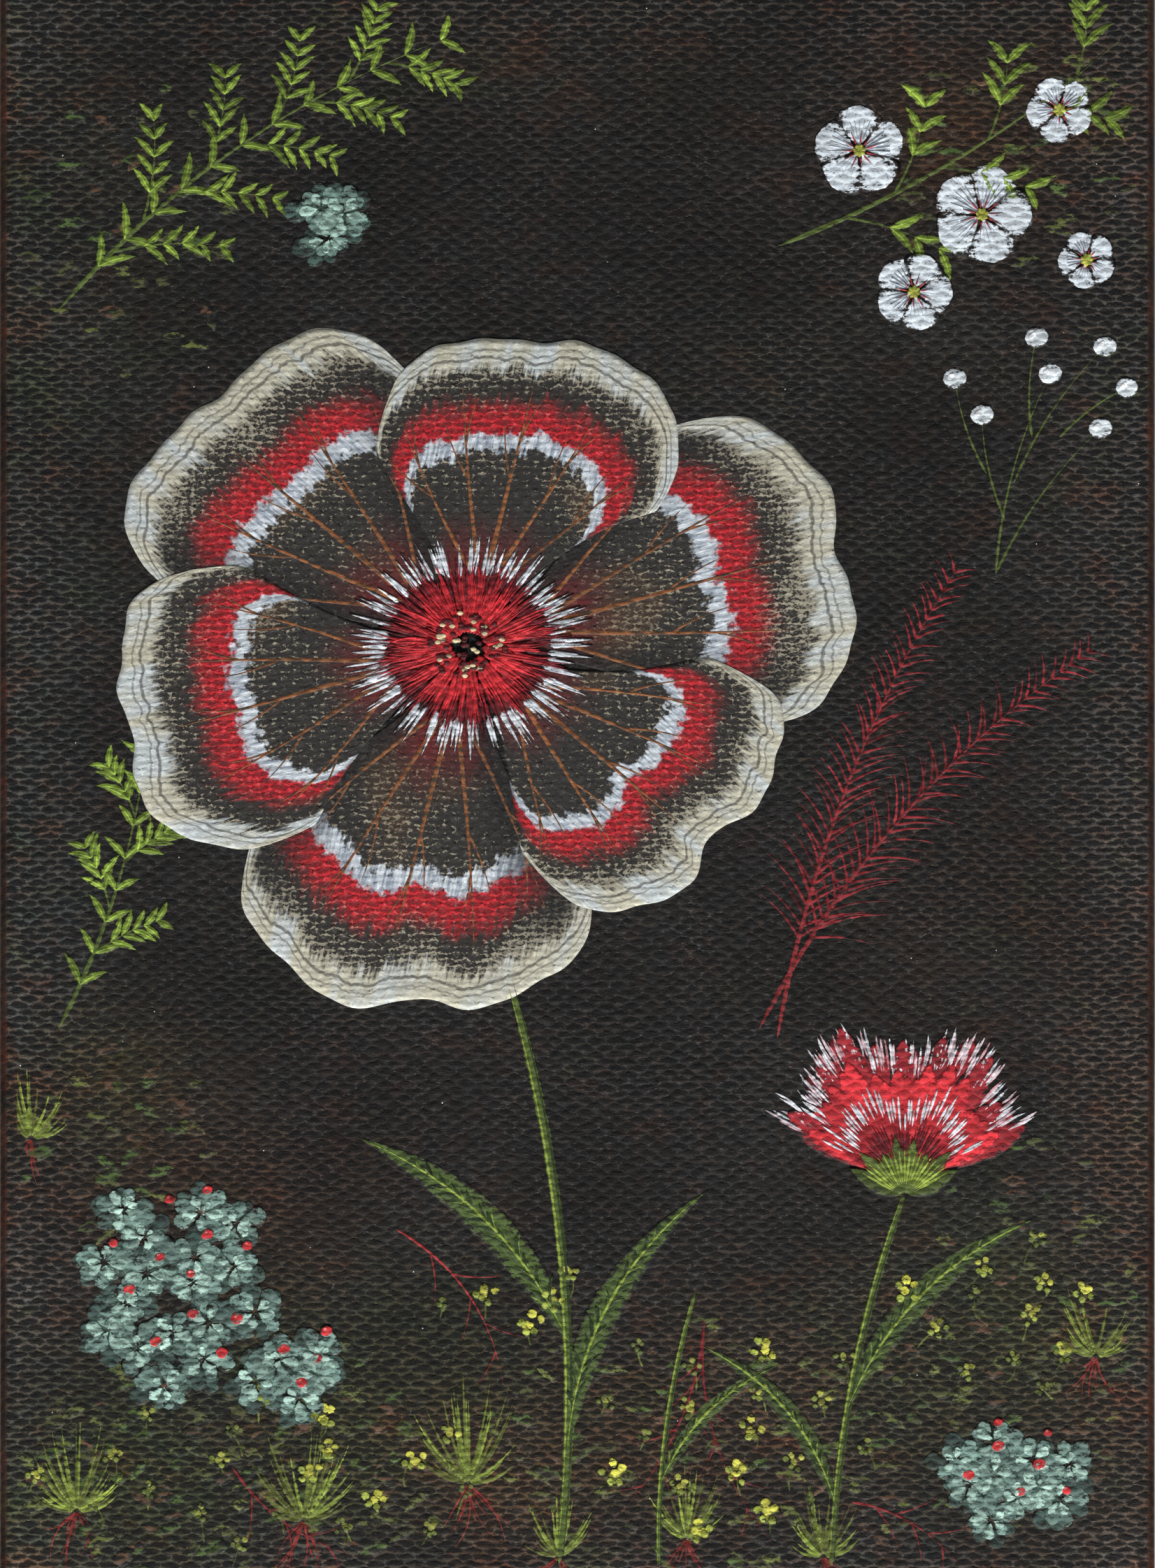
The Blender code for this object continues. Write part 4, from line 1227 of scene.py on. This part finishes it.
edges[:, 6], edges[:, 7] = 0.30 * edges[:, 6], 0.05
edges[:, 8:11] = np.repeat((grassGreen, longLeaves["shadows"]["colour"]), len(tall), axis=0)
strokePiece("paint_leaf_shadows", shadows, "lens", **longLeaves["shadowPaint"])
strokePiece("paint_nerves", [middles, *nerves, edges], "lens", **longLeaves["nervePaint"])


# Rosettes at places (mm): short round-tipped leaves that point away from each middle, the inner ones
# smaller
def rosettes(places, size, share, colour, lift, count=7):
    parts = []
    for place in places:
        angles = 2 * np.pi * chance.random() + np.arange(count) * 2 * np.pi / count
        angles = angles + 0.2 * chance.normal(size=count)
        reach = size * share * (0.75 + 0.5 * chance.random(count))
        parts.append(fan(place, angles, 0.15 * size, reach, 0.62 * reach, colour, 0.9, spread=0.22,
                         bow=0.12 * chance.normal(size=count), lift=lift + 0.012 * (np.arange(count) % 3)))
    return np.concatenate(parts)


# Places in patches (x, z, count, half width, half height), even over an ellipse: the turn grows by the
# golden angle, the radius by its root, and each place is a little off
def sown(patches):
    places = []
    for x, z, count, wide, tall in patches:
        k = np.arange(count)
        away = np.sqrt((k + 0.5) / count)[:, None]
        places.append((x, z) + away * (wide, tall) * ray(2.39996 * k) + 0.5 * chance.normal(size=(count, 2)))
    return np.concatenate(places)


# Rounded teal leaves in rosettes, with red berries between them. Each layer takes every first or second
# rosette: step, shift, size, share, colour, lift and count of its leaves
print("teal leaves")
teals = {
    "patches": ((-45, 33, 17, 9.5, 11.0), (-31, 24, 5, 4.5, 3.5), (48, 12, 10, 7.5, 5.5),
                (-27, 151, 3, 2.2, 1.6)),
    "leaves": ((1, 0.0, 3.3, 1.0, (0.040, 0.070, 0.060), 0.0),
               (1, (0.2, 0.3), 3.1, 0.95, (0.125, 0.200, 0.172), 0.03)),
    "lights": ((1, (0.1, 0.2), 2.4, 0.85, (0.290, 0.430, 0.365), 0.07, 5),
               (2, 0.4, 1.5, 0.8, (0.290, 0.430, 0.365), 0.10, 4)),
    "dropPatches": ((-44, 34, 12, 9, 10), (48, 13, 7, 7, 5), (-31, 25, 4, 4, 3)),
    "drop": {"colour": (0.44, 0.020, 0.024), "lift": 0.11, "spread": 0.25},
    "spark": {"width": 0.40, "colour": (0.58, 0.13, 0.12), "lift": 0.13, "spread": 0.4},
    "leafPaint": {"streak": 0.6, "pits": 0.8, "vary": 0.5, "torn": 2.3, "columns": 5, "dry": 0.1},
    "lightPaint": {"streak": 0.8, "pits": 0.9, "vary": 0.4, "torn": 2.4, "columns": 5, "dry": 0.3},
    "dropPaint": {"streak": 0.5, "pits": 0.5, "torn": 1.9, "columns": 5, "dry": 0.0},
}
middles = sown(teals["patches"])
leaves, lights = ([rosettes(middles[::step] + shift, *sizes) for step, shift, *sizes in teals[kind]]
                  for kind in ("leaves", "lights"))
strokePiece("paint_round_leaves", leaves, "petal", **teals["leafPaint"])
strokePiece("paint_leaf_lights", lights, "petal", **teals["lightPaint"])
places = sown(teals["dropPatches"]) + (0.8, 0.9)
plump = 0.75 + 0.35 * chance.random(len(places))
half = np.stack([0.62 * plump, 0.3 * chance.random(len(places))], -1)
drops = dots(places, half, 1.30 * plump, **teals["drop"])
sparks = strokes(places - (0.30, -0.15), places + (0.05, 0.25), **teals["spark"])
strokePiece("paint_drops", [drops, sparks], "round", **teals["dropPaint"])

print("grass and tendrils")
grass = {
    "tufts": ((-55, 9, 11, 30), (-30, 8, 12, 34), (-12, 12, 13, 34), (-2, 4, 8, 24), (12, 6, 9, 26),
              (27, 4, 9, 26), (57, 26, 9, 24), (-60, 50, 8, 22)),       # x, z, size and number of blades
    "dull": (0.060, 0.060, 0.016), "root": {"width": 0.32, "colour": (0.17, 0.020, 0.016), "spread": 0.25},
    "tendrils": {"start": [(14, 30), (14, 30), (-20, 40), (-38, 14), (30, 10)],
                 "end": [(4, 8), (22, 5), (-8, 22), (-24, 4), (42, 3)], "width": 0.40,
                 "colour": (0.20, 0.016, 0.018), "bow": (0.18, -0.22, 0.25, -0.2, 0.2), "spread": 0.25},
    "twigs": ((0.2, 0.8, 5), 6.5, 0.8, 0.28, (0.18, 0.015, 0.016)),
    "paint": {"streak": 0.6, "pits": 0.55, "dry": 0.5},
    "tendrilPaint": {"streak": 0.6, "pits": 0.6, "dry": 0.6},
}
blades, roots = [], []
for x, z, size, count in grass["tufts"]:
    angles = np.pi / 2 + 1.25 * (2 * chance.random(count) - 1)
    reach = size * (0.60 + 0.4 * chance.random(count)) * np.cos(angles - np.pi / 2).clip(0.55, 1)
    share = chance.random((count, 1)) ** 1.3
    tone = share * np.array(grassGreen) + (1 - share) * np.array(grass["dull"])
    droop = 0.20 * (angles - np.pi / 2) * (0.6 + 0.6 * chance.random(count))
    blades.append(fan((x, z), angles, 0.3, reach, 0.66, tone, bow=droop, spread=0.15))
    few = count // 3
    angles = -np.pi / 2 + 0.55 * chance.normal(size=few)
    reach = size * (0.3 + 0.4 * chance.random(few))
    roots.append(fan((x, z), angles, 0.2, reach, bow=0.2 * chance.normal(size=few), **grass["root"]))
strokePiece("paint_grass", blades, **grass["paint"])
tendrils = strokes(**grass["tendrils"])
roots += [tendrils] + [branches(row, *grass["twigs"]) for row in tendrils]
strokePiece("paint_tendrils", roots, **grass["tendrilPaint"])

# Buds: a stalk that leans, with a bunch of round grains around its tip; some are bold and bright, others
# faint
print("buds")
buds = {
    "patches": ((-34, 13, 20, 27, 9), (16, 18, 17, 17, 12), (47, 30, 12, 12, 9), (-6, 32, 5, 9, 4)),
    "bold": ((0.50, 0.49, 0.065), (0.28, 0.33, 0.050)),         # right and left grains
    "faint": ((0.110, 0.130, 0.030), (0.060, 0.085, 0.022)),
    "grains": ((0.0, 0.0, 0.95), (0.4, 0.72, 0.80), (1.7, 0.66, 0.85), (2.9, 0.74, 0.75), (4.1, 0.62, 0.70),
               (5.3, 0.70, 0.72)),      # turn, distance and size
    "stalk": {"width": 0.36, "colour": (0.085, 0.105, 0.022), "spread": 0.25},
    "stalkPaint": {"streak": 0.6, "pits": 0.5, "dry": 0.1},
    "paint": {"streak": 0.6, "pits": 0.6, "torn": 1.9, "dry": 0.1},
}
places = sown(buds["patches"])
places = places[(np.abs(places[:, 0]) < 60) & (places[:, 1] > 4)]
count = len(places)
boldness = chance.random((count, 1)) ** 1.2
grow = 0.85 + 0.60 * boldness
lean = 0.5 * chance.normal(size=count)
height = 1.6 + 1.8 * chance.random(count)
feet = places - column(height, count) * ray(np.pi / 2 - lean)
stalks = strokes(feet, places, bow=0.15 * chance.normal(size=count), **buds["stalk"])
strokePiece("paint_bud_stalks", [stalks], **buds["stalkPaint"])
grains = []
for turn, away, size in buds["grains"]:
    off = away * grow * ray(turn + lean)
    off = off + 0.16 * chance.normal(size=off.shape)
    half = size * grow * (0.34 + 0.14 * chance.random((count, 1))) * np.array((1.0, 0.25))
    bold, faint = (np.array(buds[kind][turn > 2]) for kind in ("bold", "faint"))
    tone = boldness * bold + (1 - boldness) * faint
    grains.append(dots(places + off, half, 1.05 * size * grow[:, 0], tone, lift=0.012 * turn, spread=0.2))
strokePiece("paint_buds", grains, "round", **buds["paint"])

# Dabs of nearly dry paint around them, mostly level, that only catch on the weave: green, olive and rust
print("dabs")
dabs = {
    "patches": ((-38, 14, 150, 24, 13), (18, 16, 130, 30, 13), (50, 28, 80, 13, 22), (-50, 50, 40, 11, 9),
                (48, 158, 60, 15, 12), (-48, 150, 40, 12, 16)),
    "tones": ((0.052, 0.088, 0.020), (0.092, 0.108, 0.026), (0.080, 0.040, 0.022), (0.060, 0.066, 0.022)),
    "long": (0.6, 1.9), "wide": (1.1, 2.2), "more": {"bow": 0.1, "lift": -0.018},
    "paint": {"streak": 0.9, "pits": 0.9, "torn": 1.7, "dry": 0.4, "peak": 0.72},
}
places = sown(dabs["patches"])
places = places + 1.3 * chance.normal(size=places.shape)
count = len(places)
angles = 0.35 * chance.normal(size=count)
(short, long), (slim, wide) = dabs["long"], dabs["wide"]
reach = (short + (long - short) * chance.random(count))[:, None] * ray(angles)
tones = np.array(dabs["tones"])[chance.integers(0, 4, count)] * (0.7 + 0.5 * chance.random((count, 1)))
width = slim + (wide - slim) * chance.random(count)
strokePiece("paint_dabs", [dots(places, reach, width, tones, **dabs["more"])], "lens", **dabs["paint"])


# Wood, wedges and staples

wood = {
    "light": (0.60, 0.43, 0.245), "dark": (0.33, 0.170, 0.066), "knot": (0.13, 0.055, 0.022),
    "dirt": (0.30, 0.22, 0.15), "bark": (0.045, 0.020, 0.010),          # around a knot
    "wedgeLight": (0.68, 0.52, 0.33), "wedgeDark": (0.50, 0.33, 0.18),
    "ringSize": 2.1 * mm, "grainStretch": 0.045, "poreSize": 0.5 * mm, "knotSize": 3.2 * mm,
    "knots": {"bar_left": (-43.0, 62.0), "bar_top": (21.0, 164.0), "bar_right": (52.0, 128.0)},
}


# Planed softwood: rings cut lengthways, fine pores along the grain, and perhaps a knot with the rings bent
# round it
def woodFinish(name, length, offset, light, dark, knot=None):
    look = Finish(name)
    keep, squeeze = [1.0, 1.0, 1.0], [1.0, 0.25, 1.0]
    keep[length], squeeze[length] = wood["grainStretch"], 0.40
    place = look.node("Mapping", look.place(), Scale=keep, Location=offset).outputs[0]
    bent = look.clouds(9 * mm, at=place)
    pores = look.clouds(wood["poreSize"], 3.0, 0.6, at=place)
    axes = look.split(look.node("Mapping", place, Location=(0.031, 0.023, -0.027)).outputs[0])
    wave = bent * (5 * mm) - 2.5 * mm
    if knot:
        size = wood["knotSize"]
        aim = (-knot[0] * squeeze[0] * mm, 0.0, -knot[1] * squeeze[2] * mm)
        measure = look.node("VectorMath")
        measure.operation = "LENGTH"
        feed(measure.inputs[0], look.node("Mapping", look.place(), Scale=squeeze, Location=aim).outputs[0])
        reach = bent * (1.2 * mm) - 0.6 * mm + Term(measure.outputs["Value"])
        wave = wave + between(reach, 5.5 * size, 0.0, 0.0, 3.0 * wood["ringSize"])
    join = look.node("CombineXYZ")
    for number, axis in enumerate(axes):
        feed(join.inputs[number], axis if number == length else axis + wave)
    rings = look.node("TexWave", join.outputs[0], Scale=0.314 / wood["ringSize"], Distortion=1.2, Detail=2.0)
    rings.inputs["Detail Scale"].default_value = 0.8
    rings.wave_type, rings.rings_direction, rings.wave_profile = "RINGS", "XYZ"[length], "SAW"
    late = rings.outputs["Fac"]
    late = between(late, 0.25, 0.90) * between(late, 1.0, 0.91)
    tone = maths("SUBTRACT", late * 0.60 + bent * 0.6 + pores * 0.6, 0.52, clamp=True)
    colour = blend(tone, light, dark)
    colour = blend(between(look.clouds(14 * mm, 4.0, 0.6), 0.45, 0.80) * 0.22, colour, wood["dirt"])
    if knot:
        ringed = maths("SINE", reach * (2 * math.pi / (0.55 * mm))) * 0.25 + 0.6
        core = between(reach, size, 0.75 * size)
        colour = blend(core, colour, blend(ringed, dark, wood["knot"]))
        colour = blend(core * between(reach, 0.70 * size, 0.85 * size), colour, wood["bark"])
    return look.done(colour, pores * 0.25 + 0.45, pores * 0.7 + late * 0.25, 0.10 * mm)


# A solid node gets its material and nothing else
def dressNode(name, material):
    mesh = nodes[name].data
    mesh.materials.clear()
    mesh.materials.append(material)


print("wood and staples")
for number, name in enumerate(("bar_top", "bar_bottom", "bar_left", "bar_right")):
    offset = (0.013 * number, 0.07, 0.05 * number)
    knot = wood["knots"].get(name)
    dressNode(name, woodFinish("pine_" + name, 2 * (number // 2), offset, wood["light"], wood["dark"], knot))
for name in [name for name in nodes if name.startswith("key_")]:
    length = 2 if name.endswith("_1") else 0
    finish = woodFinish("wedge_" + name, length, (0.11, 0.05, 0.09), wood["wedgeLight"], wood["wedgeDark"])
    dressNode(name, finish)


# Drawn steel wire with a bright zinc coat: fine lines along the wire and duller spots
def stapleFinish():
    look = Finish("zincWire")
    drawn = look.clouds(0.12 * mm, 2.0, 0.6, (1.0, 0.25, 1.0))
    dull = look.clouds(1.3 * mm, 3.0, 0.6)
    colour = blend(between(dull, 0.35, 0.75), (0.62, 0.63, 0.65), (0.38, 0.38, 0.38))
    return look.done(colour, dull * 0.35 + 0.16, drawn, 0.02 * mm, Metallic=1.0)


wire = stapleFinish()
for name in [name for name in nodes if name.startswith("staple_")]:
    dressNode(name, wire)


# Camera, floor and light

view = {"lens": 200.0, "photoWide": 1652, "photoTall": 2243, "faceLeft": -1, "faceRight": 1652}
studio = {"floor": (0.84, 0.83, 0.81), "floorDull": (0.80, 0.79, 0.77), "reach": 3.0,
          "world": (0.80, 0.82, 0.86), "worldStrength": 0.30,
          "lamps": {    # place, size and power
              "low_front": ((0.08, -0.60, -1.00), (0.30, 0.20), 27.0),
              "high_front": ((-0.55, -0.80, 1.00), (0.7, 0.5), 1.5),
              "high_back": ((0.60, 0.90, 1.10), (1.0, 0.8), 10.0)}}


# An object for a camera, a lamp or the floor
def addObject(name, data):
    holder = bpy.data.objects.new(name, data)
    bpy.context.scene.collection.objects.link(holder)
    return holder


# The picture is framed as the scan: the face goes from faceLeft to faceRight (px of the photo), and the
# distance is lens * photoTall * pixel / sensor width
def placeCamera():
    camera = bpy.data.cameras.new("camera")
    camera.lens = view["lens"]
    camera.clip_start, camera.clip_end = 0.01, 20.0
    pixel = (clothHigh.x - clothLow.x) / (view["faceRight"] - view["faceLeft"])
    distance = pixel * view["photoTall"] * view["lens"] / camera.sensor_width
    centre = pixel * (view["photoWide"] - view["faceLeft"] - view["faceRight"]) / 2
    holder = addObject("camera", camera)
    holder.location = (centre, frontY - distance, middleZ)
    holder.rotation_euler = (math.pi / 2, 0.0, 0.0)
    bpy.context.scene.camera = holder


# A soft lamp that looks at the middle of the picture: its -Z is turned along the direction there
def softLight(name, place, size, power):
    lamp = bpy.data.lights.new(name, "AREA")
    lamp.shape = "RECTANGLE"
    lamp.size, lamp.size_y = size
    lamp.energy = power
    lamp.cycles.use_multiple_importance_sampling = False
    holder = addObject(name, lamp)
    x, y, z = np.array((0, 0, middleZ)) - np.array(place)
    holder.location = place
    holder.rotation_euler = (math.acos(-z / math.hypot(x, y, z)), 0.0, math.atan2(y, x) - math.pi / 2)
    holder.visible_camera = False


# A faint plain sky all round, and the lamps
def buildStudio():
    world = bpy.data.worlds.new("studio")
    world.use_nodes = True
    sky = world.node_tree.nodes["Background"]
    feed(sky.inputs["Color"], (*studio["world"], 1.0))
    feed(sky.inputs["Strength"], studio["worldStrength"])
    bpy.context.scene.world = world
    for name, settings in studio["lamps"].items():
        softLight(name, *settings)


# A pale floor in two parts; the low light comes through the front one
def buildFloor():
    look = Finish("paleFloor")
    material = look.done(blend(look.clouds(0.25, 3.0), studio["floor"], studio["floorDull"]), 0.8)
    reach = studio["reach"]
    for name, near, far in (("floor", frontY, reach), ("floor_front", -reach, frontY)):
        mesh = bpy.data.meshes.new(name)
        corners = [(-reach, near, 0), (reach, near, 0), (reach, far, 0), (-reach, far, 0)]
        mesh.from_pydata(corners, [], [(0, 1, 2, 3)])
        mesh.materials.append(material)
        floor = addObject(name, mesh)
        floor.visible_shadow = name == "floor"
        floor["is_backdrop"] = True


print("camera, floor and light")
placeCamera()
buildStudio()
buildFloor()
bpy.context.scene.view_settings.view_transform = "Standard"

sizes = {"cad": [list(frameLow), list(frameHigh)], "visual": [list(corner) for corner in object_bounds()]}
print("done")
